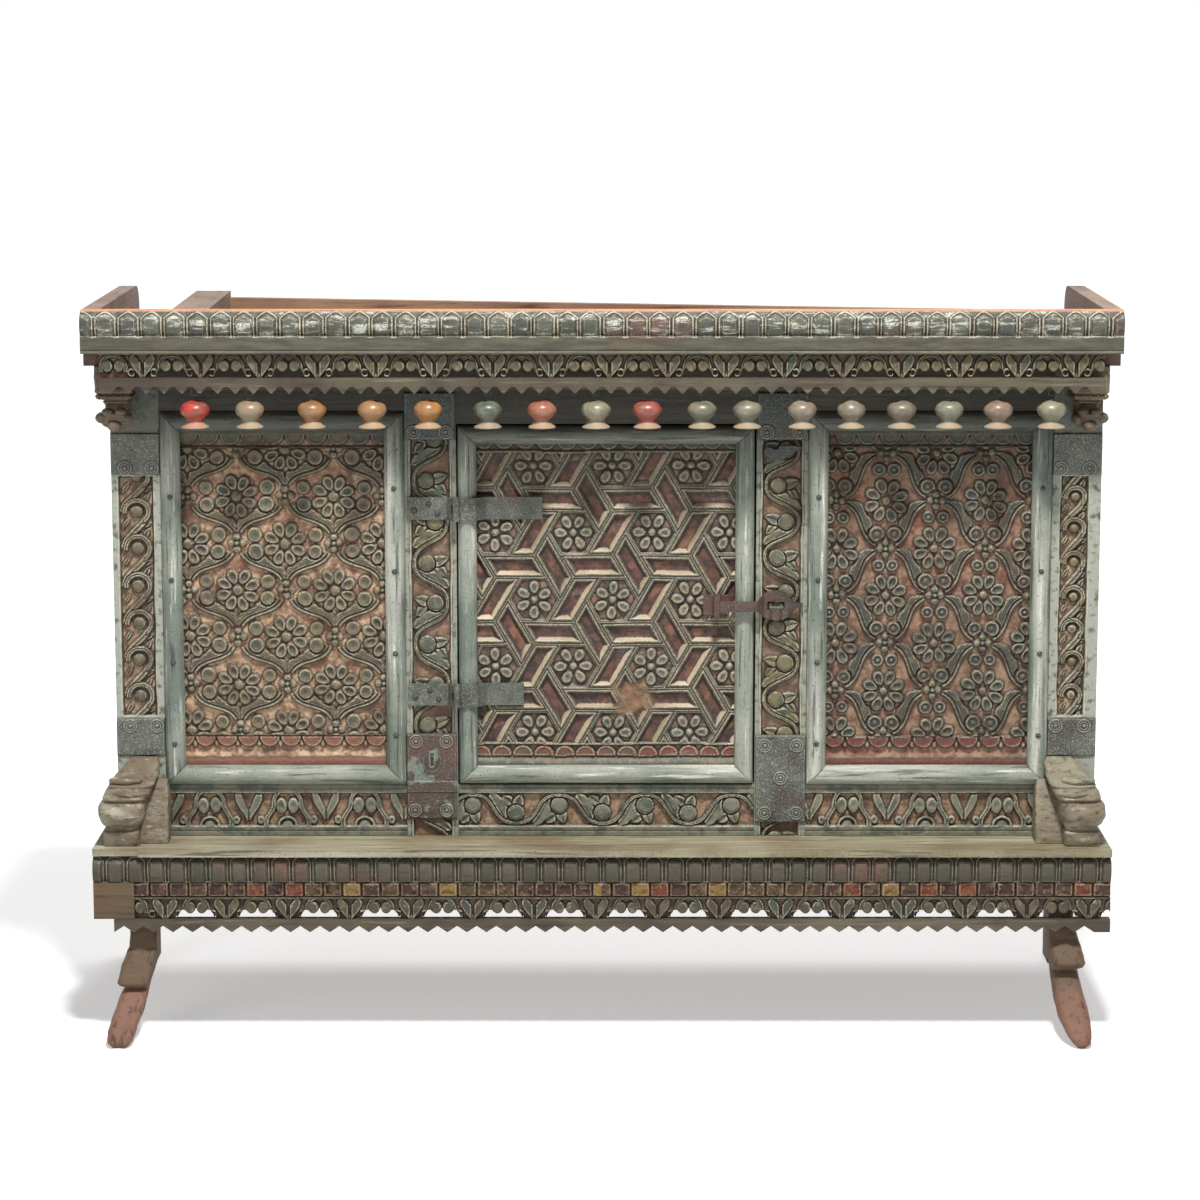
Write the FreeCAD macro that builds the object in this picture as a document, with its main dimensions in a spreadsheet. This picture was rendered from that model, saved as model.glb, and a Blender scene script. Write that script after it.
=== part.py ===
import FreeCAD, Part
import math
import os
from types import SimpleNamespace

import Sketcher
from FreeCAD import Placement, Rotation, Vector

# Carved sideboard: a joined wooden cabinet with a hinged door between two fixed panels, a base
# rail and a cornice with pierced friezes, kicked front legs and a row of turned drops on hooks.
# X runs to the right, Y to the back and Z up. The origin is under the middle of the outline.

doc = FreeCAD.newDocument("carved_sideboard")

# The driving dimensions, in millimetres
DRIVING = [
    ("overall_width", 1400, "cornice and base, end to end"),
    ("cornice_depth", 450, "front of the cornice to the back"),
    ("toe_reach", 60, "how far the front toes kick out ahead of the cornice"),
    ("rim_level", 1007, "top of the cornice rail"),
    ("petal_foot_level", 972, "foot of the cornice petals"),
    ("deck_top_level", 949, "top of the deck boards"),
    ("deck_level", 930, "underside of the deck boards"),
    ("strip_top_level", 916, "top of the scalloped strip"),
    ("soffit_level", 900, "flat underside behind the scallops"),
    ("strip_foot_level", 896, "tips of the scallops"),
    ("corbel_foot_level", 841, "foot of the corbels"),
    ("head_level", 863, "underside of the top rail"),
    ("head_band_level", 845, "underside of the band above the door"),
    ("door_top_level", 843, "top of the door"),
    ("door_foot_level", 342, "foot of the door"),
    ("apron_top_level", 340, "top of the apron boards"),
    ("floor_level", 267, "top of the ledge and foot of the facade"),
    ("ledge_level", 257, "underside of the ledge board"),
    ("block_top_level", 219, "foot of the lower petals"),
    ("base_level", 198, "underside of the base rails"),
    ("frieze_foot_level", 168, "foot of the lower frieze"),
    ("zigzag_foot_level", 150, "tips of the lower zigzag strip"),
    ("facade_middle", 6, "middle of the door opening, right of the middle of the outline"),
    ("door_opening", 412, "width of the door opening"),
    ("stile_width", 71, "width of the two door stiles"),
    ("panel_width", 335, "width of each fixed panel"),
    ("post_width", 67, "width of the corner posts"),
    ("facade_setback", 83, "front of the cornice to the face of the facade"),
    ("frame_depth", 40, "thickness of the stiles and the top rail"),
    ("post_depth", 50, "thickness of the corner posts"),
    ("apron_depth", 30, "thickness of the apron boards"),
    ("panel_setback", 3, "face of the facade to the face of the panels"),
    ("panel_depth", 24, "thickness of the fixed panels"),
    ("door_depth", 20, "thickness of the door board"),
    ("side_depth", 20, "thickness of the side boards"),
    ("carving_relief", 7.5, "depth of the ground of the carved panels"),
    ("panel_pitch_across", 67.5, "from a flower to the next tie, across"),
    ("panel_pitch_up", 66, "from a flower to the next tie, upward"),
    ("panel_flower_radius", 28.5, "radius of the flowers of the panels"),
    ("door_pitch", 108, "pitch of the hexagons of the door"),
    ("door_flower_radius", 25, "radius of the flowers of the door"),
    ("tray_half_length", 31.5, "half the length of a slanted tray of the door"),
    ("tray_half_width", 13.5, "half the width of a slanted tray of the door"),
    ("door_relief", 5.5, "depth of the trays and cells of the door"),
    ("moulding_radius", 14, "half-round mouldings round the fixed panels"),
    ("door_moulding_radius", 13, "half-round mouldings round the door"),
    ("door_gap_hinge", 2, "gap beside the door at its hinges"),
    ("door_gap_lock", 2.5, "gap beside the door at its hasp"),
    ("rear_post_width", 36, "width of the rear posts"),
    ("rear_post_depth", 60, "depth of the rear posts"),
    ("side_rail_width", 56, "width of the base side rails"),
    ("sill_depth", 67, "depth of the sill under the facade"),
    ("back_rail_depth", 50, "depth of the base back rail"),
    ("plank_depth", 18, "thickness of the back planks and floor boards"),
    ("board_gap", 1, "gap between neighbouring boards"),
    ("petal_pitch_top", 31, "pitch of the cornice petals"),
    ("petal_pitch_base", 28.5, "pitch of the base petals"),
    ("petal_groove", 3, "width of the groove between petals"),
    ("petal_relief", 4, "depth of the ground round the petals"),
    ("frieze_depth", 12, "thickness of both friezes"),
    ("frieze_pitch_top", 78.5, "pitch of the upper frieze"),
    ("frieze_pitch_base", 84.8, "pitch of the lower frieze"),
    ("scallop_pitch", 24, "pitch of the scalloped strip"),
    ("zigzag_pitch", 27, "pitch of the lower strip"),
    ("ear_width", 24, "thickness of the gallery ends"),
    ("ear_round", 34, "round of the gallery ends at the back"),
    ("iron_sheet", 3, "thickness of the iron straps and plates"),
    ("hinge_height", 31, "height of the strap hinges"),
    ("hinge_upper_level", 728.5, "middle of the upper hinge"),
    ("hinge_lower_level", 468.5, "middle of the lower hinge"),
    ("hinge_axis_ahead", 18, "hinge axis ahead of the facade"),
    ("barrel_radius", 5, "hinge barrels"),
    ("pin_radius", 2.5, "hinge pins"),
    ("pin_bore_radius", 2.55, "bores for the hinge pins"),
    ("knuckle_height", 10.8, "door knuckle of each hinge"),
    ("knuckle_gap", 0.2, "gap between knuckles"),
    ("hasp_level", 594, "middle of the hasp"),
    ("hasp_axis_right", 152, "hasp pivot, right of the facade middle"),
    ("hasp_axis_ahead", 17, "hasp pivot ahead of the facade"),
    ("hasp_iron", 4, "thickness of the hasp"),
    ("staple_right", 233.5, "staple, right of the facade middle"),
    ("staple_half", 7, "half the distance between the staple's legs"),
    ("wire_radius", 2.5, "iron wire of the staple"),
    ("drop_pivot_level", 892, "level of the hook pins that carry the turned drops"),
    ("drop_pivot_behind", 14, "hook pins behind the front of the cornice"),
    ("drop_height", 40, "height of a turned drop"),
    ("drop_radius", 20, "widest radius of a turned drop"),
    ("drop_foot_radius", 18, "radius of the flared foot of a drop"),
    ("drop_neck_radius", 10.5, "radius of the neck between bulb and foot"),
    ("hook_half", 4.5, "half the distance between the legs of a hook"),
    ("hook_wire", 0.72, "half the thickness of the square hook wire"),
    ("eye_bore", 1.06, "radius of the bore in the eye of a drop"),
    ("eye_radius", 2.8, "outer radius of the eye of a drop"),
]

# Where the turned drops hang, from left to right; the spacing is uneven, as it was nailed by eye
DROP_PLACES = [-549, -475, -391, -310, -235, -154, -81, -8, 61, 135, 196, 270, 336, 404, 468, 534, 606]


class Size:
    """A length, with the formula that ties it to the sheet."""

    def __init__(self, value, formula):
        self.value = value
        self.formula = formula

    def __add__(self, other):
        return joined(self, "+", other)

    def __radd__(self, other):
        return joined(other, "+", self)

    def __sub__(self, other):
        return joined(self, "-", other)

    def __rsub__(self, other):
        return joined(other, "-", self)

    def __mul__(self, other):
        return joined(self, "*", other)

    def __rmul__(self, other):
        return joined(other, "*", self)

    def __truediv__(self, other):
        return joined(self, "/", other)

    def __neg__(self):
        return joined(0, "-", self)


def as_size(length):
    """Gives a plain number the same form as a length from the sheet."""
    if isinstance(length, Size):
        return length
    return Size(float(length), f"({float(length)})")


def joined(left, sign, right):
    """Works out one step of a formula, as a number and as sheet text."""
    left = as_size(left)
    right = as_size(right)
    results = {
        "+": left.value + right.value,
        "-": left.value - right.value,
        "*": left.value * right.value,
        "/": left.value / right.value if right.value else 0.0,
    }
    return Size(results[sign], f"({left.formula} {sign} {right.formula})")


def make_sheet():
    """Fills the sheet and returns its cells by name."""
    sheet = doc.addObject("Spreadsheet::Sheet", "Sizes")
    cells = {}
    for row, (alias, value, note) in enumerate(DRIVING, start=1):
        sheet.set(f"A{row}", note)
        sheet.set(f"B{row}", str(value))
        sheet.setAlias(f"B{row}", alias)
        cells[alias] = Size(float(value), f"Sizes.{alias}")
    doc.recompute()
    return SimpleNamespace(**cells)


size = make_sheet()
LEFT, RIGHT = -1, 1
SIDES = {"left": LEFT, "right": RIGHT}
nodes = {}

# Planes and distances that most pieces share
half_width = size.overall_width / 2
front = (size.toe_reach - size.cornice_depth) / 2
rear = front + size.cornice_depth
facade = front + size.facade_setback
stile_inner = size.door_opening / 2
stile_outer = stile_inner + size.stile_width
post_inner = stile_outer + size.panel_width
post_outer = post_inner + size.post_width
panel_face = facade + size.panel_setback
plate_face = facade - size.iron_sheet
side_rail_inner = half_width - size.side_rail_width
rear_post_inner = half_width - size.rear_post_width
rear_post_face = rear - size.rear_post_depth
ear_inner = half_width - size.ear_width
hinge_x = size.facade_middle - stile_inner
hinge_y = facade - size.hinge_axis_ahead
hasp_x = size.facade_middle + size.hasp_axis_right
hasp_y = facade - size.hasp_axis_ahead
staple_x = size.facade_middle + size.staple_right
door_span = (
    size.facade_middle - stile_inner + size.door_gap_hinge,
    size.facade_middle + stile_inner - size.door_gap_lock,
)


def behind(depth):
    """A plane at a depth behind the front of the cornice."""
    return front + depth


def span(side, near, far, middle=None):
    """The stretch from near to far on one side of the facade's middle, or of another middle."""
    middle = size.facade_middle if middle is None else as_size(middle)
    if side == LEFT:
        return middle - far, middle - near
    return middle + near, middle + far


def block(label, x, y, z):
    """A squared board between two bounds along each axis."""
    board = doc.addObject("Part::Box", label)
    for prop, axis, (low, high) in (("Length", "x", x), ("Width", "y", y), ("Height", "z", z)):
        low = as_size(low)
        board.setExpression(prop, (as_size(high) - low).formula)
        board.setExpression(f"Placement.Base.{axis}", low.formula)
    return board


BAR_SIDES = 8


def rod(label, radius, length, place, direction=Vector(0, 0, 1), sides=BAR_SIDES, hollow=False):
    """A thin bar that starts at a place and runs along a direction. It is forged with flats, few
    enough to keep the model light. A bore is drawn larger, so that its flats clear its radius."""
    bar = doc.addObject("Part::Prism", label)
    bar.Polygon = sides
    radius = as_size(radius)
    if hollow:
        radius = radius * round(1 / math.cos(math.pi / sides), 4)
    bar.setExpression("Circumradius", radius.formula)
    bar.setExpression("Height", as_size(length).formula)
    bar.Placement = Placement(Vector(0, 0, 0), Rotation(Vector(0, 0, 1), direction))
    for axis, value in zip("xyz", place):
        bar.setExpression(f"Placement.Base.{axis}", as_size(value).formula)
    return bar


def cut(label, base, tool):
    piece = doc.addObject("Part::Cut", label)
    piece.Base = base
    piece.Tool = tool
    return piece


def common(label, first, second):
    piece = doc.addObject("Part::Common", label)
    piece.Base = first
    piece.Tool = second
    return piece


def fuse(label, pieces):
    piece = doc.addObject("Part::MultiFuse", label)
    piece.Shapes = pieces
    return piece


def group(label, pieces):
    """Several like pieces that stay separate solids in one sub-part."""
    whole = doc.addObject("Part::Compound", label)
    whole.Links = pieces
    return whole


def keep(label, piece):
    """Marks a piece as a sub-part of the sideboard."""
    piece.Label = label
    nodes[label] = piece
    return piece


def new_sketch(body, plane, offset):
    """A sketch on one of the body's own planes, moved along that plane's normal."""
    sketch = body.newObject("Sketcher::SketchObject", f"{body.Name}_sketch")
    origin_plane = next(p for p in body.Origin.OriginFeatures if p.Role == plane)
    sketch.AttachmentSupport = [(origin_plane, "")]
    sketch.MapMode = "FlatFace"
    sketch.setExpression("AttachmentOffset.Base.z", as_size(offset).formula)
    return sketch


def pin_point(sketch, edge, end, point):
    """Ties an end of an edge to the sheet by its two distances from the sketch's origin."""
    for kind, length in zip(("DistanceX", "DistanceY"), point):
        number = sketch.addConstraint(Sketcher.Constraint(kind, -1, 1, edge, end, length.value))
        sketch.setExpression(f"Constraints[{number}]", length.formula)


def outline(sketch, start, *steps):
    """Draws a closed outline. A step is an end point, or a mid point and an end point for an arc."""
    here = tuple(as_size(v) for v in start)
    for number, step in enumerate(steps + (start,)):
        step = tuple(as_size(v) for v in step)
        there = step[-2:]
        a = Vector(here[0].value, here[1].value, 0)
        b = Vector(there[0].value, there[1].value, 0)
        if number == len(steps) and (b - a).Length < 1e-6:
            break
        if len(step) == 4:
            middle = Vector(step[0].value, step[1].value, 0)
            turns_left = (middle - a).cross(b - a).z > 0
            curve = Part.Arc(a, middle, b) if turns_left else Part.Arc(b, middle, a)
        else:
            curve = Part.LineSegment(a, b)
        edge = sketch.addGeometry(curve, False)
        drawn = sketch.Geometry[edge]
        begins = 1 if (drawn.StartPoint - a).Length < 1e-6 else 2
        pin_point(sketch, edge, begins, here)
        pin_point(sketch, edge, 3 - begins, there)
        here = there


def circle(sketch, centre, radius):
    centre = tuple(as_size(v) for v in centre)
    radius = as_size(radius)
    ring = Part.Circle(Vector(centre[0].value, centre[1].value, 0), Vector(0, 0, 1), radius.value)
    edge = sketch.addGeometry(ring, False)
    pin_point(sketch, edge, 3, centre)
    number = sketch.addConstraint(Sketcher.Constraint("Radius", edge, radius.value))
    sketch.setExpression(f"Constraints[{number}]", radius.formula)


def pad(body, plane, low, high, *points):
    """Adds a solid with an outline, from one bound to another along the normal of a plane."""
    offset = -as_size(high) if plane == "XZ_Plane" else as_size(low)
    sketch = new_sketch(body, plane, offset)
    outline(sketch, *points)
    feature = body.newObject("PartDesign::Pad", f"{body.Name}_pad")
    feature.Profile = sketch
    feature.setExpression("Length", (as_size(high) - low).formula)
    body.Tip = feature
    return feature


def profiled(label, plane, low, high, *points):
    """A body made of one outline between two bounds."""
    body = doc.addObject("PartDesign::Body", label)
    pad(body, plane, low, high, *points)
    return body


def recess(body, face, depth, *points):
    """Cuts an outline into a body from the front, and returns the pocket and its sketch."""
    sketch = new_sketch(body, "XZ_Plane", -as_size(face))
    outline(sketch, *points)
    pocket = body.newObject("PartDesign::Pocket", f"{body.Name}_pocket")
    pocket.Profile = sketch
    pocket.setExpression("Length", as_size(depth).formula)
    body.Tip = pocket
    return pocket, sketch


def repeat(body, feature, sketch, pitch, count):
    """Repeats a feature along X."""
    pattern = body.newObject("PartDesign::LinearPattern", f"{body.Name}_pattern")
    pattern.Originals = [feature]
    pattern.Direction = (sketch, ["H_Axis"])
    pattern.setExpression("Length", (as_size(pitch) * (count - 1)).formula)
    pattern.Occurrences = count
    body.Tip = pattern
    return pattern


def ring_points(radius, sides, centre=(0, 0), inner=None, turn=0.0):
    """Corners of a regular outline, or of a star whose notches lie on an inner radius."""
    points = []
    for number in range(sides):
        angle = math.radians(turn) + 2 * math.pi * number / sides
        reach = radius if inner is None or number % 2 == 0 else inner
        across = centre[0] + as_size(reach) * round(math.cos(angle), 4)
        points.append((across, centre[1] + as_size(reach) * round(math.sin(angle), 4)))
    return points


# Legs


def front_leg(side, top_span, toe_span, top_level):
    """A kicked leg like an animal's: a shank with a knee that overhangs a pointed hoof. It is sawn
    from the side and from the front."""
    name = "left" if side == LEFT else "right"
    ankle = 146
    brow = 128
    shin = 102
    knee = 88
    pastern = 44
    crown = 12
    from_side = profiled(
        f"front_leg_side_{name}",
        "YZ_Plane",
        -half_width,
        half_width,
        (behind(80), top_level),
        (behind(22), top_level),
        (behind(20), ankle),
        (behind(4), brow),
        (behind(-14), shin),
        (behind(-18), knee),
        (behind(-9), knee),
        (behind(-34), pastern),
        (behind(-56), crown),
        (-(size.toe_reach + size.cornice_depth) / 2, 0),
        (behind(-8), 0),
        (behind(2), crown),
        (behind(34), pastern),
        (behind(58), knee),
        (behind(72), brow),
        (behind(78), ankle),
    )
    top_inner, top_outer = top_span
    toe_inner, toe_outer = toe_span
    flanks = (
        (top_outer, top_level),
        (top_outer + 2, ankle),
        (top_outer + 4, brow),
        (top_outer + 9, shin),
        (top_outer + 9, knee),
        (top_outer + 4, knee),
        (toe_outer - 3, pastern),
        (toe_outer, crown),
        (toe_outer - 2, 0),
        (toe_inner + 2, 0),
        (toe_inner, crown),
        (toe_inner - 4, pastern),
        (top_inner + 8, knee),
        (top_inner + 3, brow),
        (top_inner + 1, ankle),
        (top_inner, top_level),
    )
    from_front = profiled(
        f"front_leg_front_{name}",
        "XZ_Plane",
        front - size.toe_reach,
        facade,
        *[(x * side, z) for x, z in flanks],
    )
    return common(f"front_leg_{name}", from_side, from_front)


left_shank = front_leg(LEFT, (615, 664), (643, 680), size.frieze_foot_level)
left_tenon = block(
    "front_leg_left_tenon",
    (-side_rail_inner, -615),
    (behind(22), behind(80)),
    (size.frieze_foot_level, size.base_level),
)
keep("front_leg_left", fuse("left_leg", [left_shank, left_tenon]))
keep("front_leg_right", front_leg(RIGHT, (617, 665), (644, 674), size.base_level))


# Base


def rear_posts():
    posts = []
    for name, side in SIDES.items():
        x = span(side, rear_post_inner, half_width, 0)
        posts.append(block(f"rear_post_{name}", x, (rear_post_face, rear), (0, size.deck_level)))
    return posts


keep("rear_posts", group("rear_post_pair", rear_posts()))


def side_rails():
    rails = []
    for name, side in SIDES.items():
        x = span(side, side_rail_inner, half_width, 0)
        z = (size.base_level, size.floor_level)
        rails.append(block(f"side_rail_{name}", x, (facade, rear_post_face), z))
    return rails


def end_block():
    """The left rail's own front end, which shows under the petals beside the frieze."""
    x = (-half_width, -side_rail_inner)
    return block("end_block", x, (behind(5), facade), (size.frieze_foot_level, size.block_top_level))


keep("side_rails", group("side_rail_set", side_rails() + [end_block()]))
keep(
    "front_sill",
    block(
        "sill",
        (-side_rail_inner, side_rail_inner),
        (facade, facade + size.sill_depth),
        (size.base_level, size.floor_level),
    ),
)
keep(
    "back_rail",
    block(
        "base_back_rail",
        (-rear_post_inner, rear_post_inner),
        (rear - size.back_rail_depth, rear),
        (size.base_level, size.floor_level),
    ),
)


def boards(label, count, low, high, lay):
    """Boards side by side from low to high, each laid by a function of its number and bounds."""
    pitch = (high - low) / count
    made = []
    for number in range(count):
        start = low + pitch * number
        end = low + pitch * (number + 1)
        if number < count - 1:
            end = end - size.board_gap
        made.append(lay(f"{label}_{number + 1}", (start, end)))
    return made


def floor_board(label, y):
    x = (size.facade_middle - post_outer + size.side_depth, rear_post_inner)
    return block(label, x, y, (size.floor_level, size.floor_level + size.plank_depth))


floor_front = facade + size.post_depth
floor_rear = rear - size.plank_depth
keep("floor_boards", group("floor", boards("floor_board", 3, floor_front, floor_rear, floor_board)))


def petal_ground(foot, shoulder, top, pitch, groove):
    """The sunk ground between two petals: a narrow groove that opens to the spandrels of two arches."""
    half = pitch / 2
    return (
        (0, foot),
        (groove / 2, shoulder),
        (half * 0.94, top),
        (half * -0.94, top),
        (-groove / 2, shoulder),
    )


def hewn(*steps):
    """An outline whose curves are cut as two flats each, as with a chisel."""
    points = []
    for step in steps:
        points.append(step[:2])
        if len(step) == 4:
            points.append(step[2:])
    return points


def shifted(points, x):
    """Moves an outline along X. Mid points of arcs move too."""
    moved = []
    for point in points:
        values = []
        for place, value in enumerate(point):
            values.append(value + x if place % 2 == 0 else value)
        moved.append(tuple(values))
    return moved


def front_rail():
    """The base rail: a swelling row of petals over a flat band of blocks."""
    belly = size.block_top_level + 20
    body = profiled(
        "front_rail",
        "YZ_Plane",
        -half_width,
        half_width,
        (facade, size.block_top_level),
        (facade, size.ledge_level),
        (behind(8), size.ledge_level),
        (behind(2), belly),
        (behind(4), size.block_top_level),
    )
    pad(
        body,
        "YZ_Plane",
        -side_rail_inner,
        half_width,
        (facade, size.base_level),
        (facade, size.block_top_level + 2),
        (behind(8), size.block_top_level + 2),
        (behind(6), size.base_level),
    )
    count = 48
    first = -size.petal_pitch_base * (count - 1) / 2
    ground = petal_ground(
        size.block_top_level + 1, belly, size.ledge_level - 1, size.petal_pitch_base, size.petal_groove
    )
    pocket, sketch = recess(body, front, size.petal_relief + 5, *shifted(ground, first))
    repeat(body, pocket, sketch, size.petal_pitch_base, count)
    return body


keep("front_rail", front_rail())
keep(
    "ledge_board",
    profiled(
        "ledge",
        "XY_Plane",
        size.ledge_level,
        size.floor_level,
        (-half_width, facade),
        (-half_width, behind(4)),
        (-side_rail_inner + 8, behind(4)),
        (-side_rail_inner + 8, behind(-3)),
        (half_width, behind(-3)),
        (half_width, facade),
    ),
)


def frieze_void(foot, width, rise):
    """The opening under one arch of a frieze: flared feet, and two hanging buds at the top."""
    half = width / 2
    return (
        (-half, foot),
        (half * -0.84, foot + rise * 0.35),
        (half * -0.62, foot + rise * 0.72),
        (half * -0.34, foot + rise * 0.55),
        (0, foot + rise),
        (half * 0.34, foot + rise * 0.55),
        (half * 0.62, foot + rise * 0.72),
        (half * 0.84, foot + rise * 0.35),
        (half, foot),
    )


def frieze(label, x, y_front, z, pitch, first_void, count, void_width, void_rise):
    """A pierced board: a row of hanging tulips joined by arches."""
    body = profiled(
        label,
        "XZ_Plane",
        y_front,
        y_front + size.frieze_depth,
        (x[0], z[0]),
        (x[1], z[0]),
        (x[1], z[1]),
        (x[0], z[1]),
    )
    void = shifted(frieze_void(z[0], as_size(void_width), as_size(void_rise)), first_void)
    pocket, sketch = recess(body, y_front, size.frieze_depth, *void)
    repeat(body, pocket, sketch, pitch, count)
    return body


keep(
    "lower_frieze",
    frieze(
        "frieze_below_base",
        (-side_rail_inner, half_width),
        behind(4),
        (size.frieze_foot_level, size.base_level),
        size.frieze_pitch_base,
        as_size(-559.5),
        15,
        54,
        14,
    ),
)


def zigzag_strip():
    """A thin strip with a toothed lower edge."""
    left = -side_rail_inner - 28
    body = profiled(
        "zigzag",
        "XZ_Plane",
        behind(2),
        behind(18),
        (left, size.zigzag_foot_level),
        (half_width, size.zigzag_foot_level),
        (half_width, size.frieze_foot_level),
        (left, size.frieze_foot_level),
    )
    count = 50
    half = size.zigzag_pitch / 2
    first = left + half
    notch = (
        (first - half, size.zigzag_foot_level),
        (first, size.zigzag_foot_level + 9),
        (first + half, size.zigzag_foot_level),
    )
    pocket, sketch = recess(body, behind(2), as_size(16), *notch)
    repeat(body, pocket, sketch, size.zigzag_pitch, count)
    return body


keep("zigzag_strip", zigzag_strip())


# Facade


def corner_posts():
    posts = []
    for name, side in SIDES.items():
        x = span(side, post_inner, post_outer)
        y = (facade, facade + size.post_depth)
        posts.append(block(f"corner_post_{name}", x, y, (size.floor_level, size.deck_level)))
    return posts


keep("corner_posts", group("corner_post_pair", corner_posts()))


def stiles():
    made = []
    for name, side in SIDES.items():
        x = span(side, stile_inner, stile_outer)
        y = (facade, facade + size.frame_depth)
        made.append(block(f"stile_{name}", x, y, (size.floor_level, size.head_level)))
    return made


keep("stiles", group("stile_pair", stiles()))
keep(
    "top_rail",
    profiled(
        "head_rail",
        "XZ_Plane",
        facade,
        facade + size.frame_depth,
        (size.facade_middle - post_inner, size.head_level),
        (size.facade_middle - stile_inner, size.head_level),
        (size.facade_middle - stile_inner, size.head_band_level),
        (size.facade_middle + stile_inner, size.head_band_level),
        (size.facade_middle + stile_inner, size.head_level),
        (size.facade_middle + post_inner, size.head_level),
        (size.facade_middle + post_inner, size.deck_level),
        (size.facade_middle - post_inner, size.deck_level),
    ),
)


def apron_boards():
    spans = {
        "left": span(LEFT, stile_outer, post_inner),
        "middle": (size.facade_middle - stile_inner, size.facade_middle + stile_inner),
        "right": span(RIGHT, stile_outer, post_inner),
    }
    y = (facade, facade + size.apron_depth)
    z = (size.floor_level, size.apron_top_level)
    return [block(f"apron_{name}", x, y, z) for name, x in spans.items()]


keep("apron_boards", group("apron", apron_boards()))

# Carved boards: a sunk field inside a plain rim, where the mouldings sit


def rectangle(x, z):
    return [(x[0], z[0]), (x[1], z[0]), (x[1], z[1]), (x[0], z[1])]


def raised(body, face, relief, tops, points):
    """A motif that stands on the sunk ground, to a distance under the face."""
    return pad(body, "XZ_Plane", face + tops, face + relief, *points)


def repeat_grid(body, features, pitches, counts):
    """Repeats features to the right and upward."""
    sketch = features[0].Profile[0]
    pattern = body.newObject("PartDesign::LinearPattern", f"{body.Name}_pattern")
    pattern.Originals = features
    pattern.Direction = (sketch, ["H_Axis"])
    pattern.setExpression("Length", (as_size(pitches[0]) * (counts[0] - 1)).formula)
    pattern.Occurrences = counts[0]
    pattern.Direction2 = (sketch, ["V_Axis"])
    pattern.setExpression("Length2", (as_size(pitches[1]) * (counts[1] - 1)).formula)
    pattern.Occurrences2 = counts[1]
    body.Tip = pattern


def leaf_points(start, lean, swing):
    """A long leaf that runs down from one tie to the next, in a double curve. Its blade lies
    outside the curve, first on one side and then on the other."""
    across = size.panel_pitch_across
    up = size.panel_pitch_up
    blades = ((0.0, 2, 2), (0.3, 10, 3), (0.7, 3, 10), (1.0, 2, 2))
    sides = ([], [])
    for along, outer, inner in blades:
        sway = round(swing * math.sin(2 * math.pi * along), 4)
        for side, width in enumerate((outer, -inner)):
            off = as_size(sway) + (as_size(width) if swing > 0 else as_size(-width)) / 95
            x = start[0] + (off + along) * across * lean
            z = start[1] + (off - along) * up
            sides[side].append((x, z))
    return sides[0] + sides[1][::-1]


def carved_panel(side_name, side):
    """A fixed panel with flowers on a diamond lattice, and long leaves between its ties."""
    x = span(side, stile_outer, post_inner)
    y = (panel_face, panel_face + size.panel_depth)
    z = (size.apron_top_level, size.head_level)
    body = profiled(f"panel_board_{side_name}", "XZ_Plane", *y, *rectangle(x, z))
    relief = size.carving_relief
    rim = size.moulding_radius * 2
    recess(body, panel_face, relief, *rectangle((x[0] + rim, x[1] - rim), PANEL_FIELD_LEVELS))
    across = size.panel_pitch_across
    up = size.panel_pitch_up
    middle = (x[0] + x[1]) / 2 + PANEL_TIE[side_name][0]
    top = as_size(PANEL_TIE[side_name][1])
    swing = 0.088 * side
    steps = (across * 2, up * 2)
    low = top - up * 4
    for lean, first_x in ((1, middle - across * 2), (-1, middle)):
        leaf = raised(body, panel_face, relief, 0, leaf_points((first_x, low), lean, swing))
        repeat_grid(body, [leaf], steps, (2, 3))
    for lean in (1, -1):
        leaf = raised(body, panel_face, relief, 0, leaf_points((middle - across, low + up), lean, swing))
        repeat_grid(body, [leaf], steps, (2, 3))
    for first_x, first_z, columns, rows in (
        (middle - across, low, 2, 3),
        (middle - across * 2, low - up, 3, 4),
    ):
        centre = (first_x, first_z)
        star = ring_points(size.panel_flower_radius, 16, centre, size.panel_flower_radius * 0.76, 22.5)
        petals = raised(body, panel_face, relief, 2, star)
        boss = raised(body, panel_face, relief, 0, ring_points(as_size(7), 6, centre, turn=30))
        repeat_grid(body, [petals, boss], steps, (columns, rows))
    return common(f"carved_panel_{side_name}", body, block(f"panel_edges_{side_name}", x, y, z))


PANEL_FIELD_LEVELS = (396, 812)
PANEL_TIE = {"left": (2.5, 744.5), "right": (8.5, 738)}
for side_name, side_sign in SIDES.items():
    keep(f"panel_{side_name}", carved_panel(side_name, side_sign))


MOULDING_SIDES = 16


def moulding_bar(label, start, turn, length, width, radius, seat):
    """One half-round bar with mitred ends. It lies along its own X and its outer edge is at start."""
    bar = doc.addObject("Part::Prism", f"{label}_round")
    bar.Polygon = MOULDING_SIDES
    bar.setExpression("Circumradius", radius.formula)
    bar.setExpression("Height", length.formula)
    bar.Placement = Placement(Vector(0, 0, 0), Rotation(Vector(0, 1, 0), 90) * Rotation(Vector(0, 0, 1), 90))
    bar.setExpression("Placement.Base.y", radius.formula)
    plan = doc.addObject("Part::Wedge", f"{label}_plan")
    for prop, value in (
        ("Xmin", 0),
        ("Xmax", length),
        ("X2min", width),
        ("X2max", length - width),
        ("Ymin", 0),
        ("Ymax", width),
        ("Zmin", 0),
        ("Zmax", radius),
        ("Z2min", 0),
        ("Z2max", radius),
    ):
        plan.setExpression(prop, as_size(value).formula)
    piece = common(label, bar, plan)
    flat = Rotation(Vector(1, 0, 0), 90)
    piece.Placement = Placement(Vector(0, 0, 0), Rotation(Vector(0, 1, 0), turn) * flat)
    for axis, value in zip("xyz", (start[0], seat, start[1])):
        piece.setExpression(f"Placement.Base.{axis}", as_size(value).formula)
    return piece


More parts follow.
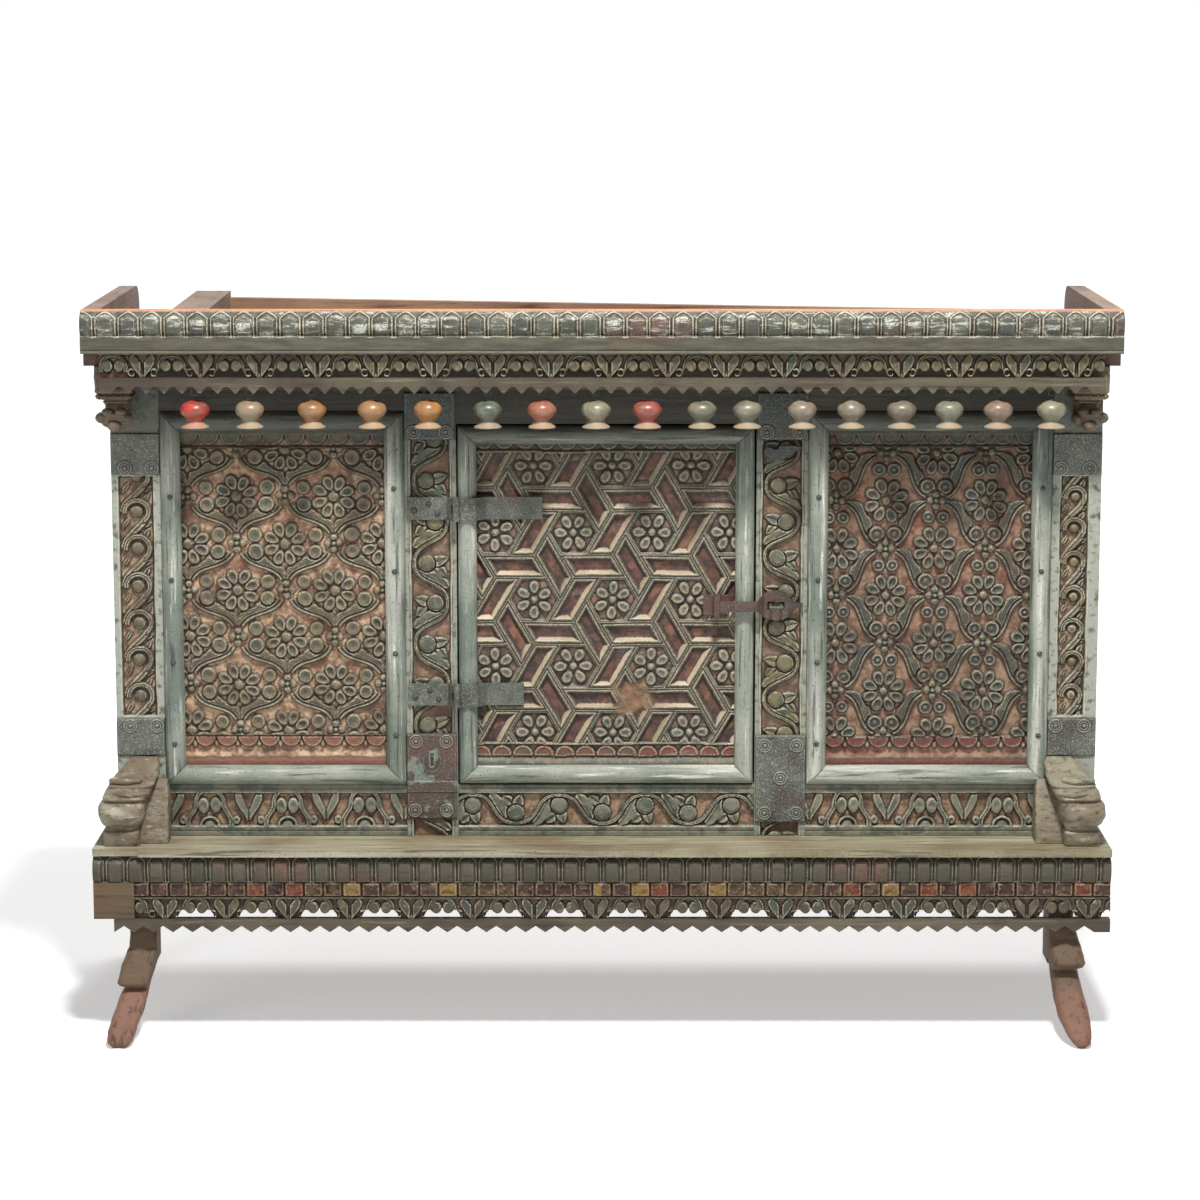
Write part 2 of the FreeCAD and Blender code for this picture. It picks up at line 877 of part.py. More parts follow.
def moulding_frame(label, x, z, radius, seat):
    """Four half-round bars, mitred at the corners."""
    width = radius * 2
    across = x[1] - x[0]
    tall = z[1] - z[0]
    return [
        moulding_bar(f"{label}_foot", (x[0], z[0]), 0, across, width, radius, seat),
        moulding_bar(f"{label}_left", (x[0], z[1]), 90, tall, width, radius, seat),
        moulding_bar(f"{label}_head", (x[1], z[1]), 180, across, width, radius, seat),
        moulding_bar(f"{label}_right", (x[1], z[0]), 270, tall, width, radius, seat),
    ]


for side_name, side_sign in SIDES.items():
    bars = moulding_frame(
        f"moulding_{side_name}",
        span(side_sign, stile_outer, post_inner),
        (size.apron_top_level, size.head_level),
        size.moulding_radius,
        panel_face,
    )
    keep(f"panel_mouldings_{side_name}", group(f"mouldings_{side_name}", bars))


# Sides, back and top


def side_panels():
    made = []
    for name, side in SIDES.items():
        x = span(side, post_outer - size.side_depth, post_outer)
        y = (facade + size.post_depth, rear_post_face)
        made.append(block(f"side_panel_{name}", x, y, (size.floor_level, size.deck_level)))
    return made


keep("side_panels", group("side_panel_pair", side_panels()))


def back_plank(label, x):
    return block(label, x, (rear - size.plank_depth, rear), (size.floor_level, size.deck_level))


keep("back_planks", group("back", boards("back_plank", 6, -rear_post_inner, rear_post_inner, back_plank)))


def deck_board(label, y):
    return block(label, (-ear_inner, ear_inner), y, (size.deck_level, size.deck_top_level))


keep("top_boards", group("deck", boards("top_board", 3, behind(20), rear, deck_board)))


def cornice_rail():
    """The top front rail: a swelling row of petals over a plain fillet."""
    belly = size.petal_foot_level + 17
    body = profiled(
        "cornice",
        "YZ_Plane",
        -half_width,
        half_width,
        (behind(30), size.deck_top_level),
        (behind(30), size.rim_level),
        (behind(4), size.rim_level),
        (behind(0), belly),
        (behind(3), size.petal_foot_level),
        (behind(1), size.petal_foot_level),
        (behind(1), size.deck_top_level),
    )
    count = 44
    first = -size.petal_pitch_top * (count - 1) / 2
    ground = petal_ground(
        size.petal_foot_level + 1, belly, size.rim_level - 2, size.petal_pitch_top, size.petal_groove
    )
    pocket, sketch = recess(body, front, size.petal_relief + 3, *shifted(ground, first))
    repeat(body, pocket, sketch, size.petal_pitch_top, count)
    return body


keep("cornice_rail", cornice_rail())


def gallery_ends():
    """The two end boards of the gallery, rounded at the back."""
    made = []
    for name, side in SIDES.items():
        x = span(side, ear_inner, half_width, 0)
        corner = size.ear_round * 0.293
        made.append(
            profiled(
                f"gallery_end_{name}",
                "YZ_Plane",
                x[0],
                x[1],
                (behind(30), size.deck_level),
                (rear, size.deck_level),
                (rear, size.rim_level - size.ear_round),
                (rear - corner, size.rim_level - corner, rear - size.ear_round, size.rim_level),
                (behind(30), size.rim_level),
            )
        )
    return made


keep("gallery_ends", group("gallery_end_pair", gallery_ends()))

BEAM_LEFT = (-592, -542)
BEAM_RIGHT = (579, 629)


def gallery_beams():
    """Two bearers that lie across the deck inside the gallery."""
    made = []
    for name, (low, high), top in (("left", BEAM_LEFT, 997), ("right", BEAM_RIGHT, 970)):
        z = (size.deck_top_level, top)
        made.append(block(f"gallery_beam_{name}", (low, high), (behind(30), rear), z))
    return made


keep("gallery_beams", group("gallery_beam_pair", gallery_beams()))


def gallery_back():
    """The back of the gallery: a tall board that tapers to the right, and a low one at each end."""
    y = (rear - size.plank_depth, rear)
    low_top = size.deck_top_level + 16
    tall = profiled(
        "gallery_back_tall",
        "XZ_Plane",
        y[0],
        y[1],
        (BEAM_LEFT[1], size.deck_top_level),
        (BEAM_RIGHT[0], size.deck_top_level),
        (BEAM_RIGHT[0], 970),
        (BEAM_LEFT[1], 988),
    )
    return [
        tall,
        block("gallery_back_left", (-ear_inner, BEAM_LEFT[0]), y, (size.deck_top_level, low_top)),
        block("gallery_back_right", (BEAM_RIGHT[1], ear_inner), y, (size.deck_top_level, low_top)),
    ]


keep("gallery_back", group("gallery_back_boards", gallery_back()))
keep(
    "upper_frieze",
    frieze(
        "frieze_under_cornice",
        (-ear_inner, ear_inner),
        behind(8),
        (size.strip_top_level, size.deck_top_level),
        size.frieze_pitch_top,
        as_size(-578.7),
        16,
        46,
        15,
    ),
)


def scalloped_strip():
    """A strip with a row of hanging pointed scallops, and a flat soffit behind them."""
    body = profiled(
        "scallops",
        "YZ_Plane",
        -ear_inner,
        ear_inner,
        (behind(-2), size.strip_foot_level),
        (behind(8), size.strip_foot_level),
        (behind(8), size.soffit_level),
        (behind(20), size.soffit_level),
        (behind(20), size.strip_top_level),
        (behind(-2), size.strip_top_level),
    )
    count = 55
    first = -size.scallop_pitch * (count - 1) / 2
    reach = size.scallop_pitch * 0.46
    foot = size.strip_foot_level
    notch = (
        (first - reach, foot),
        (first - reach * 0.25, foot + 9),
        (first + reach * 0.25, foot + 9),
        (first + reach, foot),
    )
    pocket, sketch = recess(body, behind(-2), as_size(10), *notch)
    repeat(body, pocket, sketch, size.scallop_pitch, count)
    return body


keep("scalloped_strip", scalloped_strip())


def corbels():
    """Scrolled brackets that carry the cornice from the corner posts."""
    top = size.deck_level
    foot = size.corbel_foot_level
    made = []
    for name, x in (("left", (-676, -632)), ("right", (640, 676))):
        made.append(
            profiled(
                f"corbel_{name}",
                "YZ_Plane",
                x[0],
                x[1],
                *hewn(
                    (facade, top),
                    (behind(20), top),
                    (behind(20), top - 32),
                    (behind(26), top - 36),
                    (behind(24), top - 44, behind(32), top - 49),
                    (behind(32), top - 53),
                    (behind(30), top - 62, behind(44), top - 66),
                    (behind(44), top - 69),
                    (behind(43), foot + 6, behind(60), foot),
                    (facade, foot),
                ),
            )
        )
    return made


keep("corbels", group("corbel_pair", corbels()))


# Carved heads on the ledge


def head_bracket(name, side):
    """A stylised animal head: an arched neck, a domed brow over a band, and a squared chin."""
    base = size.floor_level
    side_view = profiled(
        f"head_side_{name}",
        "YZ_Plane",
        -half_width,
        half_width,
        *hewn(
            (facade, base),
            (behind(14), base),
            (behind(12), base + 24),
            (behind(8), base + 28),
            (behind(2), base + 46, behind(12), base + 60),
            (behind(22), base + 66),
            (behind(20), base + 92, behind(46), base + 108),
            (behind(62), base + 114, facade, base + 113),
        ),
    )
    near, far = 623, 696
    x = span(side, near, far, 0)
    middle = (x[0] + x[1]) / 2
    front_view = profiled(
        f"head_front_{name}",
        "XZ_Plane",
        front,
        facade,
        *hewn(
            (x[0] + 4, base),
            (x[1] - 4, base),
            (x[1] - 4, base + 26),
            (x[1], base + 32),
            (x[1], base + 70),
            (x[1] - 8, base + 102, middle, base + 114),
            (x[0] + 8, base + 102, x[0], base + 70),
            (x[0], base + 32),
            (x[0] + 4, base + 26),
        ),
    )
    wing_x = span(side, 598, near, 0)
    wing = profiled(
        f"head_wing_{name}",
        "YZ_Plane",
        wing_x[0],
        wing_x[1],
        *hewn(
            (facade, base),
            (behind(34), base),
            (behind(48), base + 30, behind(60), base + 68),
            (facade, base + 70),
        ),
    )
    return fuse(f"head_{name}", [common(f"head_block_{name}", side_view, front_view), wing])


for side_name, side_sign in SIDES.items():
    keep(f"head_bracket_{side_name}", head_bracket(side_name, side_sign))


# Door

DOOR_CELL = (14.5, 600)
DOOR_FIELD_LEVELS = (382, 806)


def tray_points(cell, toward):
    """A slanted tray between a cell of the door and its neighbour in a direction, in degrees."""
    run = (math.cos(math.radians(toward)), math.sin(math.radians(toward)))
    slant = (math.cos(math.radians(toward + 60)), math.sin(math.radians(toward + 60)))
    points = []
    for along, beside in ((1, 1), (1, -1), (-1, -1), (-1, 1)):
        corner = []
        for axis in (0, 1):
            middle = cell[axis] + size.door_pitch * round(run[axis] / 2, 4)
            long_step = size.tray_half_length * round(along * slant[axis], 4)
            corner.append(middle + long_step + size.tray_half_width * round(beside * run[axis], 4))
        points.append(tuple(corner))
    return points


def door_board():
    """The door: hexagons that hold flowers, between slanted trays in three directions."""
    y = (panel_face, panel_face + size.door_depth)
    z = (size.door_foot_level, size.door_top_level)
    body = profiled("door_carving", "XZ_Plane", *y, *rectangle(door_span, z))
    pitch = size.door_pitch
    row = pitch * round(math.sqrt(3) / 2, 4)
    steps = (pitch, row * 2)
    even = (as_size(DOOR_CELL[0]) - pitch, as_size(DOOR_CELL[1]) - row * 2)
    odd = (as_size(DOOR_CELL[0]) - pitch * 1.5, as_size(DOOR_CELL[1]) - row)
    trays = (
        (even, 0, -1, 0, 4, 3),
        (even, 60, -1, 0, 4, 2),
        (even, 120, 0, 0, 4, 2),
        (odd, 0, -1, 0, 4, 2),
        (odd, 60, 0, -1, 4, 3),
        (odd, 120, 0, -1, 4, 3),
    )
    for cell, toward, column, line, columns, rows in trays:
        first = (cell[0] + pitch * column, cell[1] + row * (2 * line))
        pocket, sketch = recess(body, panel_face, size.door_relief, *tray_points(first, toward))
        repeat_grid(body, [pocket], steps, (columns, rows))
    for cell, columns, rows in ((even, 3, 3), (odd, 4, 2)):
        hexagon = ring_points(pitch * 0.3, 6, cell)
        pocket, sketch = recess(body, panel_face, size.door_relief, *hexagon)
        repeat_grid(body, [pocket], steps, (columns, rows))
        star = ring_points(size.door_flower_radius, 12, cell, size.door_flower_radius * 0.72)
        petals = raised(body, panel_face, size.door_relief, 1.5, star)
        boss = raised(body, panel_face, size.door_relief, 0, ring_points(as_size(5.6), 6, cell))
        repeat_grid(body, [petals, boss], steps, (columns, rows))
    rim = size.door_moulding_radius * 2
    sketch = new_sketch(body, "XZ_Plane", -(panel_face + size.door_relief))
    outline(sketch, *rectangle(door_span, z))
    outline(sketch, *rectangle((door_span[0] + rim, door_span[1] - rim), DOOR_FIELD_LEVELS))
    plain_rim = body.newObject("PartDesign::Pad", "door_rim")
    plain_rim.Profile = sketch
    plain_rim.setExpression("Length", size.door_relief.formula)
    body.Tip = plain_rim
    return body


keep("door_panel", door_board())
keep(
    "door_mouldings",
    group(
        "mouldings_door",
        moulding_frame(
            "door_moulding",
            door_span,
            (size.door_foot_level, size.door_top_level),
            size.door_moulding_radius,
            panel_face,
        ),
    ),
)


def door_battens():
    """Two battens that hold the door boards together on the inside."""
    y = (panel_face + size.door_depth, panel_face + size.door_depth + 15)
    x = (door_span[0] + 28, door_span[1] - 30)
    made = []
    for name, low in (("lower", 415), ("upper", 730)):
        made.append(block(f"door_batten_{name}", x, y, (low, low + 40)))
    return made


keep("door_battens", group("door_batten_pair", door_battens()))


# Ironwork


def stile_leaf(label, level):
    """The fixed leaf of a strap hinge, cranked forward to two knuckles."""
    low = level - size.hinge_height / 2
    high = level + size.hinge_height / 2
    iron = size.iron_sheet
    leaf = profiled(
        f"{label}_leaf",
        "XY_Plane",
        low,
        high,
        (hinge_x - 68, facade),
        (hinge_x - 68, facade - iron),
        (hinge_x - 13, facade - iron),
        (hinge_x - 5, hinge_y),
        (hinge_x, hinge_y),
        (hinge_x, hinge_y + size.barrel_radius),
        (hinge_x - 2.5, hinge_y + size.barrel_radius),
        (hinge_x - 9.5, facade),
    )
    barrel = rod(f"{label}_barrel", size.barrel_radius, size.hinge_height, (hinge_x, hinge_y, low))
    window_half = size.knuckle_height / 2 + size.knuckle_gap
    window = block(
        f"{label}_window",
        (hinge_x - 6.5, hinge_x + 7),
        (hinge_y - 7, hinge_y + 9),
        (level - window_half, level + window_half),
    )
    place = (hinge_x, hinge_y, low)
    bore = rod(f"{label}_bore", size.pin_bore_radius, size.hinge_height, place, hollow=True)
    return cut(label, fuse(f"{label}_blank", [leaf, barrel]), fuse(f"{label}_openings", [window, bore]))


def door_leaf(label, level, reach):
    """The moving strap: over the door moulding, down to the panel, with one knuckle."""
    low = level - size.hinge_height / 2
    high = level + size.hinge_height / 2
    iron = size.iron_sheet
    crown = panel_face - size.door_moulding_radius
    strap = profiled(
        f"{label}_strap",
        "XY_Plane",
        low,
        high,
        (hinge_x, hinge_y + 1.5),
        (hinge_x + 10, crown - iron),
        (hinge_x + 28, crown - iron),
        (hinge_x + 40, panel_face - iron),
        (hinge_x + reach, panel_face - iron),
        (hinge_x + reach, panel_face),
        (hinge_x + 38.5, panel_face),
        (hinge_x + 26.5, crown),
        (hinge_x + 9, crown),
        (hinge_x, hinge_y + size.barrel_radius),
    )
    barrel = rod(f"{label}_barrel", size.barrel_radius, size.hinge_height, (hinge_x, hinge_y, low))
    half = size.knuckle_height / 2
    edge = (hinge_x - 7, hinge_x + 6.2)
    deep = (hinge_y - 7, hinge_y + 9)
    below = block(f"{label}_window_below", edge, deep, (low, level - half))
    above = block(f"{label}_window_above", edge, deep, (level + half, high))
    place = (hinge_x, hinge_y, low)
    bore = rod(f"{label}_bore", size.pin_bore_radius, size.hinge_height, place, hollow=True)
    openings = fuse(f"{label}_openings", [below, above, bore])
    return cut(label, fuse(f"{label}_blank", [strap, barrel]), openings)


def hinge_pin(label, level):
    """A headed pin that drops through the three knuckles."""
    low = level - size.hinge_height / 2
    shank = rod(f"{label}_shank", size.pin_radius, size.hinge_height + 2, (hinge_x, hinge_y, low))
    head = rod(f"{label}_head", size.pin_radius + 1.5, 2, (hinge_x, hinge_y, low + size.hinge_height))
    return fuse(label, [shank, head])


HINGES = {"upper": (size.hinge_upper_level, 118), "lower": (size.hinge_lower_level, 92)}
fixed_leaves = []
pins = []
straps = []
for hinge_name, (hinge_level, strap_reach) in HINGES.items():
    fixed_leaves.append(stile_leaf(f"stile_leaf_{hinge_name}", hinge_level))
    pins.append(hinge_pin(f"hinge_pin_{hinge_name}", hinge_level))
    straps.append(door_leaf(f"door_leaf_{hinge_name}", hinge_level, strap_reach))
keep("hinge_stile_leaves", group("stile_leaves", fixed_leaves))
keep("hinge_pins", group("pins", pins))
keep("hinge_straps", group("door_leaves", straps))


def hasp_bracket():
    """A plate on the door with two lugs that carry the hasp's pin."""
    lug_height = 6
    half = 14
    low = size.hasp_level - half
    high = size.hasp_level + half
    plate = block(
        "hasp_bracket_plate",
        (hasp_x - 18, hasp_x + 18),
        (panel_face - size.iron_sheet, panel_face),
        (low, high),
    )
    lugs = [plate]
    for name, foot in (("lower", low), ("upper", high - lug_height)):
        lugs.append(rod(f"hasp_lug_{name}", size.barrel_radius, lug_height, (hasp_x, hasp_y, foot)))
        arm = block(
            f"hasp_arm_{name}",
            (hasp_x - size.barrel_radius, hasp_x + size.barrel_radius),
            (hasp_y, panel_face - size.iron_sheet),
            (foot, foot + lug_height),
        )
        lugs.append(arm)
    pin = rod("hasp_pin_shank", size.pin_radius, 2 * half, (hasp_x, hasp_y, low))
    return fuse("hasp_seat", lugs + [pin])


keep("hasp_bracket", hasp_bracket())


def hasp():
    """A hinged iron hasp: an eye, a strap, and a slotted lens-shaped plate with a finger tail."""
    iron = size.hasp_iron
    low = size.hasp_level - 22
    high = size.hasp_level + 22
    level = size.hasp_level
    near = hasp_y - iron / 2
    far = hasp_y + iron / 2
    drop = 12
    plan = profiled(
        "hasp_plan",
        "XY_Plane",
        low,
        high,
        (hasp_x, near),
        (staple_x - 26, near),
        (staple_x - 16, near + drop),
        (staple_x + 38, near + drop),
        (staple_x + 38, far + drop),
        (staple_x - 18, far + drop),
        (staple_x - 28, far),
        (hasp_x, far),
    )
    face = profiled(
        "hasp_face",
        "XZ_Plane",
        hasp_y - 10,
        hasp_y + 30,
        *hewn(
            (hasp_x, level - 7.5),
            (staple_x - 26, level - 7),
            (staple_x - 14, level - 18, staple_x, level - 21),
            (staple_x + 14, level - 18, staple_x + 24, level - 5),
            (staple_x + 36, level - 3),
            (staple_x + 38, level, staple_x + 36, level + 3),
            (staple_x + 24, level + 5),
            (staple_x + 14, level + 18, staple_x, level + 21),
            (staple_x - 14, level + 18, staple_x - 26, level + 7),
            (hasp_x, level + 7.5),
        ),
    )
    eye = rod("hasp_eye", size.barrel_radius, 15.6, (hasp_x, hasp_y, level - 7.8))
    slot = block(
        "hasp_slot",
        (staple_x - 12, staple_x + 12),
        (hasp_y, hasp_y + 24),
        (level - 5.5, level + 5.5),
    )
    bore = rod("hasp_bore", size.pin_bore_radius, 44, (hasp_x, hasp_y, low), hollow=True)
    blank = fuse("hasp_blank", [common("hasp_leaf", plan, face), eye])
    return cut("hasp_plate", blank, fuse("hasp_openings", [slot, bore]))


keep("hasp", hasp())


def staple():
    """A wire staple in the right stile that the hasp drops over."""
    crown_y = hasp_y - size.staple_half
    reach = size.staple_half + size.wire_radius
    crown_place = (staple_x - reach, crown_y, size.hasp_level)
    wires = [rod("staple_crown", size.wire_radius, reach * 2, crown_place, Vector(1, 0, 0))]
    for name, x in (("left", staple_x - size.staple_half), ("right", staple_x + size.staple_half)):
        place = (x, crown_y, size.hasp_level)
        leg = rod(f"staple_leg_{name}", size.wire_radius, facade - crown_y, place, Vector(0, 1, 0))
        wires.append(leg)
    return fuse("staple_wire", wires)


keep("staple", staple())


def strap_plates():
    """Iron straps nailed over the joints of the corner posts and the stiles."""
    y = (plate_face, facade)
    made = []
    for name, side in SIDES.items():
        post = span(side, post_inner, post_outer)
        made.append(block(f"strap_upper_{name}", post, y, (775, 832)))
        made.append(block(f"strap_lower_{name}", post, y, (382, 435)))
        stile = span(side, stile_inner + 1, stile_outer)
        made.append(block(f"head_plate_{name}", stile, y, (823, 888)))
    stile = span(RIGHT, stile_inner + 1, stile_outer)
    made.append(block("foot_plate", stile, y, (287, 411)))
    return made


def latch_plate():
    """A loose pointed plate, nailed to the right stile."""
    return profiled(
        "latch",
        "XZ_Plane",
        plate_face - 2,
        plate_face,
        (staple_x - 16, 812),
        (staple_x - 19, 801, staple_x - 8, 793),
        (staple_x + 2, 797),
        (staple_x + 6, 793),
        (staple_x + 36, 812),
        (staple_x + 34, 815),
        (staple_x + 4, 815),
        (staple_x + 2, 808),
    )


keep("strap_plates", group("straps", strap_plates() + [latch_plate()]))


def lock_plate():
    """The plate of the old lock, with its keyhole."""
    x = span(LEFT, stile_inner + 1, stile_outer)
    middle = (x[0] + x[1]) / 2
    body = profiled(
        "lock_cover",
        "XZ_Plane",
        plate_face,
        facade,
        (x[0], 292),
        (x[1], 292),
        (x[1], 413),
        (x[0], 413),
    )
    recess(
        body,
        plate_face,
        size.iron_sheet,
        (middle - 2, 366),
        (middle + 2, 366),
        (middle + 2, 378),
        (middle, 386, middle - 2, 378),
    )
    return body


keep("lock_plate", lock_plate())

# Turned drops and their hooks

drop_y = behind(size.drop_pivot_behind)


def turned_length(label, low, high, low_radius, high_radius):
    """A length of the turning between two levels, with eight flats: two tapered blocks, crossed."""
    low_half = as_size(low_radius) * 0.96
    high_half = as_size(high_radius) * 0.96
    crossed = []
    for turn in (0, 45):
        tapered = doc.addObject("Part::Wedge", f"{label}_at_{turn}")
        for axis in "XZ":
            tapered.setExpression(f"{axis}min", (-low_half).formula)
            tapered.setExpression(f"{axis}max", low_half.formula)
            tapered.setExpression(f"{axis}2min", (-high_half).formula)
            tapered.setExpression(f"{axis}2max", high_half.formula)
        tapered.Ymin = 0
        tapered.setExpression("Ymax", (as_size(high) - low).formula)
        upright = Rotation(Vector(0, 0, 1), turn) * Rotation(Vector(1, 0, 0), 90)
        tapered.Placement = Placement(Vector(0, 0, 0), upright)
        tapered.setExpression("Placement.Base.z", as_size(low).formula)
        crossed.append(tapered)
    return common(label, *crossed)


def turned_drop():
    """A turned wooden drop over the origin: flared foot, neck and bulb, with a wire eye on top."""
    tall = size.drop_height
    stations = [
        (0, size.drop_foot_radius),
        (9, size.drop_neck_radius),
        (17, size.drop_radius - 2.6),
        (25, size.drop_radius),
        (32, size.drop_radius - 3.6),
        (tall - 1.6, 3),
    ]
    parts = []
    for number, (below, above) in enumerate(zip(stations, stations[1:]), start=1):
        parts.append(turned_length(f"turning_{number}", below[0], above[0], below[1], above[1]))
    shank = (-1.1, 1.1)
    parts.append(block("eye_shank", shank, shank, (tall - 3, tall + 2)))
    thick = 3
    eye_place = (-thick / 2, 0, tall + 4)
    along = Vector(1, 0, 0)
    parts.append(rod("eye_wire", size.eye_radius, thick, eye_place, along, 4))
    bore = rod("eye_hole", size.eye_bore, thick, eye_place, along, 4, hollow=True)
    return cut("drop_with_eye", fuse("drop_turning", parts), bore)


def hook():
    """A small hook of square wire. Its pin is at the origin and carries a drop."""
    wire = size.hook_wire
    half = size.hook_half
    rise = size.soffit_level - size.drop_pivot_level
    return profiled(
        "hook",
        "XZ_Plane",
        -wire,
        wire,
        (-half - wire, rise),
        (-half - wire, -wire),
        (half + wire, -wire),
        (half + wire, rise),
        (half - wire, rise),
        (half - wire, wire),
        (-half + wire, wire),
        (-half + wire, rise),
    )


def hung(label, piece, x, below):
    """A copy of a piece, hung at a place along the row."""
    copy = doc.addObject("Part::Compound", label)
    copy.Links = [piece]
    for axis, value in zip("xyz", (x, drop_y, size.drop_pivot_level - below)):
        copy.setExpression(f"Placement.Base.{axis}", as_size(value).formula)
    return copy


one_drop = turned_drop()
one_hook = hook()
hooks = [hung(f"hook_{n:02d}", one_hook, x, 0) for n, x in enumerate(DROP_PLACES, start=1)]
keep("drop_hooks", group("hooks", hooks))
for drop_number, drop_x in enumerate(DROP_PLACES, start=1):
    node_name = f"drop_{drop_number:02d}"
    keep(node_name, hung(f"hung_{node_name}", one_drop, drop_x, size.drop_height + 4))


# Build, test and write

doc.recompute()
failed = [o.Label for o in doc.Objects if "Invalid" in o.State or "Error" in o.State]
if failed:
    raise RuntimeError(f"objects that did not build: {failed}")
for node, piece in nodes.items():
    if piece.Shape.isNull() or not piece.Shape.isValid() or not piece.Shape.Solids:
        raise RuntimeError(f"sub-part {node} has no valid solid")
os.makedirs("parts", exist_ok=True)
for node, piece in nodes.items():
    piece.Shape.exportStep(f"parts/{node}.step")
print(f"{len(nodes)} sub-parts, {sum(len(p.Shape.Solids) for p in nodes.values())} solids")
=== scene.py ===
"""Looks of the carved sideboard: carved and painted panels, friezes, ironwork and turned drops.

Lengths are in millimetres until a mesh is made. X runs to the right, Y to the back and Z up.
"""

import math

import bpy
import numpy as np
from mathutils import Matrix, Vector


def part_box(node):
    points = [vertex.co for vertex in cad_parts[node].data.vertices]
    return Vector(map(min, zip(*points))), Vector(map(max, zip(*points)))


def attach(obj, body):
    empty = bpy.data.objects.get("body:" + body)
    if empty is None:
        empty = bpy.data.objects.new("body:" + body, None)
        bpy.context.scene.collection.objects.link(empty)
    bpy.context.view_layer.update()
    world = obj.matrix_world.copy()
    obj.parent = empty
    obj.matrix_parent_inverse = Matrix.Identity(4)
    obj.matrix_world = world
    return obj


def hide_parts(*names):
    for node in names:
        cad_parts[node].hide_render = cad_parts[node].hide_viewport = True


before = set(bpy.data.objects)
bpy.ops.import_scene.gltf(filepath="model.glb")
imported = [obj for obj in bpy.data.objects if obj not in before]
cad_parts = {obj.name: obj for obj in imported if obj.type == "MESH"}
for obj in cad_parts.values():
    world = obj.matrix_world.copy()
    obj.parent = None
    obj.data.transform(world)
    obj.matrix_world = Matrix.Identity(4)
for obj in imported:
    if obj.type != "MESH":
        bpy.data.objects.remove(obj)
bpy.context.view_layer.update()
MM = 0.001
CARCASE, DOOR = "carcase", "door"


# Shape functions, all on arrays


def smooth(start, end, value):
    """0 before start, 1 past end, and a smooth step between them."""
    t = np.clip((value - start) / (end - start), 0.0, 1.0)
    return t * t * (3 - 2 * t)


def dome(distance, radius, rise):
    """A round swelling."""
    return rise * np.sqrt(np.clip(1 - (distance / radius) ** 2, 0.0, 1.0))


def shelf(distance, half, rise, edge=1.4):
    """A flat-topped band with rounded shoulders."""
    return rise * np.sqrt(smooth(half, half - edge, np.abs(distance)))


def groove(distance, half, depth):
    """The depth of a round-bottomed groove."""
    return depth * np.sqrt(smooth(half, 0.0, np.abs(distance)))


def chance(*keys):
    """A repeatable number from 0 to 1 for each set of whole numbers."""
    total = 0.37
    for number, key in enumerate(keys):
        total = total + key * (12.9898 + 65.317 * number)
    wave = np.sin(total) * 43758.5453
    return wave - np.floor(wave)


def drift(x, z, cell, seed):
    """Smooth noise from -1 to 1, with features as large as the cell."""
    u, v = x / cell, z / cell
    i, j = np.floor(u), np.floor(v)
    fu, fv = smooth(0, 1, u - i), smooth(0, 1, v - j)
    low = chance(i, j, seed) * (1 - fu) + chance(i + 1, j, seed) * fu
    high = chance(i, j + 1, seed) * (1 - fu) + chance(i + 1, j + 1, seed) * fu
    return 2 * (low * (1 - fv) + high * fv) - 1


def soften(field, reach):
    """The mean of a field over a square window."""
    for axis in (0, 1):
        pad = [(0, 0), (0, 0)]
        pad[axis] = (reach + 1, reach)
        total = np.cumsum(np.pad(field, pad, mode="edge"), axis=axis)
        size = 2 * reach + 1
        if axis == 0:
            field = (total[size:] - total[:-size]) / size
        else:
            field = (total[:, size:] - total[:, :-size]) / size
    return field


# Meshes


def make_object(name, verts, quads, rings=(), values=None, flat_from=None):
    """A mesh object from vertices in millimetres, quads, and faces of many corners."""
    quads = np.asarray(quads, np.int64).reshape(-1, 4)
    loops = np.concatenate([quads.ravel()] + [np.asarray(r, np.int64) for r in rings])
    sizes = np.concatenate([np.full(len(quads), 4), [len(r) for r in rings]]).astype(np.int64)
    starts = np.concatenate([[0], np.cumsum(sizes)[:-1]])
    mesh = bpy.data.meshes.new(name)
    mesh.vertices.add(len(verts))
    mesh.vertices.foreach_set("co", (np.asarray(verts, np.float64) * MM).astype(np.float32).ravel())
    mesh.loops.add(len(loops))
    mesh.loops.foreach_set("vertex_index", loops.astype(np.int32))
    mesh.polygons.add(len(sizes))
    mesh.polygons.foreach_set("loop_start", starts.astype(np.int32))
    mesh.update(calc_edges=True)
    round_faces = np.ones(len(sizes), bool)
    if flat_from is not None:
        round_faces[flat_from:] = False
    mesh.polygons.foreach_set("use_smooth", round_faces)
    for label, array in (values or {}).items():
        layer = mesh.attributes.new(label, "FLOAT", "POINT")
        layer.data.foreach_set("value", np.asarray(array, np.float32).ravel())
    mesh.validate()
    piece = bpy.data.objects.new(name, mesh)
    bpy.context.scene.collection.objects.link(piece)
    return piece


def grid_quads(rows, columns, first=0):
    """Quads over a grid of vertices, stored row by row."""
    index = first + np.arange(rows * columns).reshape(rows, columns)
    corners = (index[:-1, :-1], index[:-1, 1:], index[1:, 1:], index[1:, :-1])
    return np.stack([c.ravel() for c in corners], axis=1)


def grid_line(low, high, step, inner=None):
    """Places from low to high, a step apart. With an inner span, only that span is divided."""
    start, end = inner or (low, high)
    places = np.linspace(start, end, max(int(round((end - start) / step)), 2) + 1)
    return np.concatenate([[low], places, [high]]) if inner else places


# How carving turns into paint: half the windows over which height is compared, the height over its
# surroundings that makes a full edge, and the heights of ground and of raised work
NEAR, WIDE = 2.2, 5.0
EDGE = 1.2
GROUND, RAISED = -6.6, -3.0


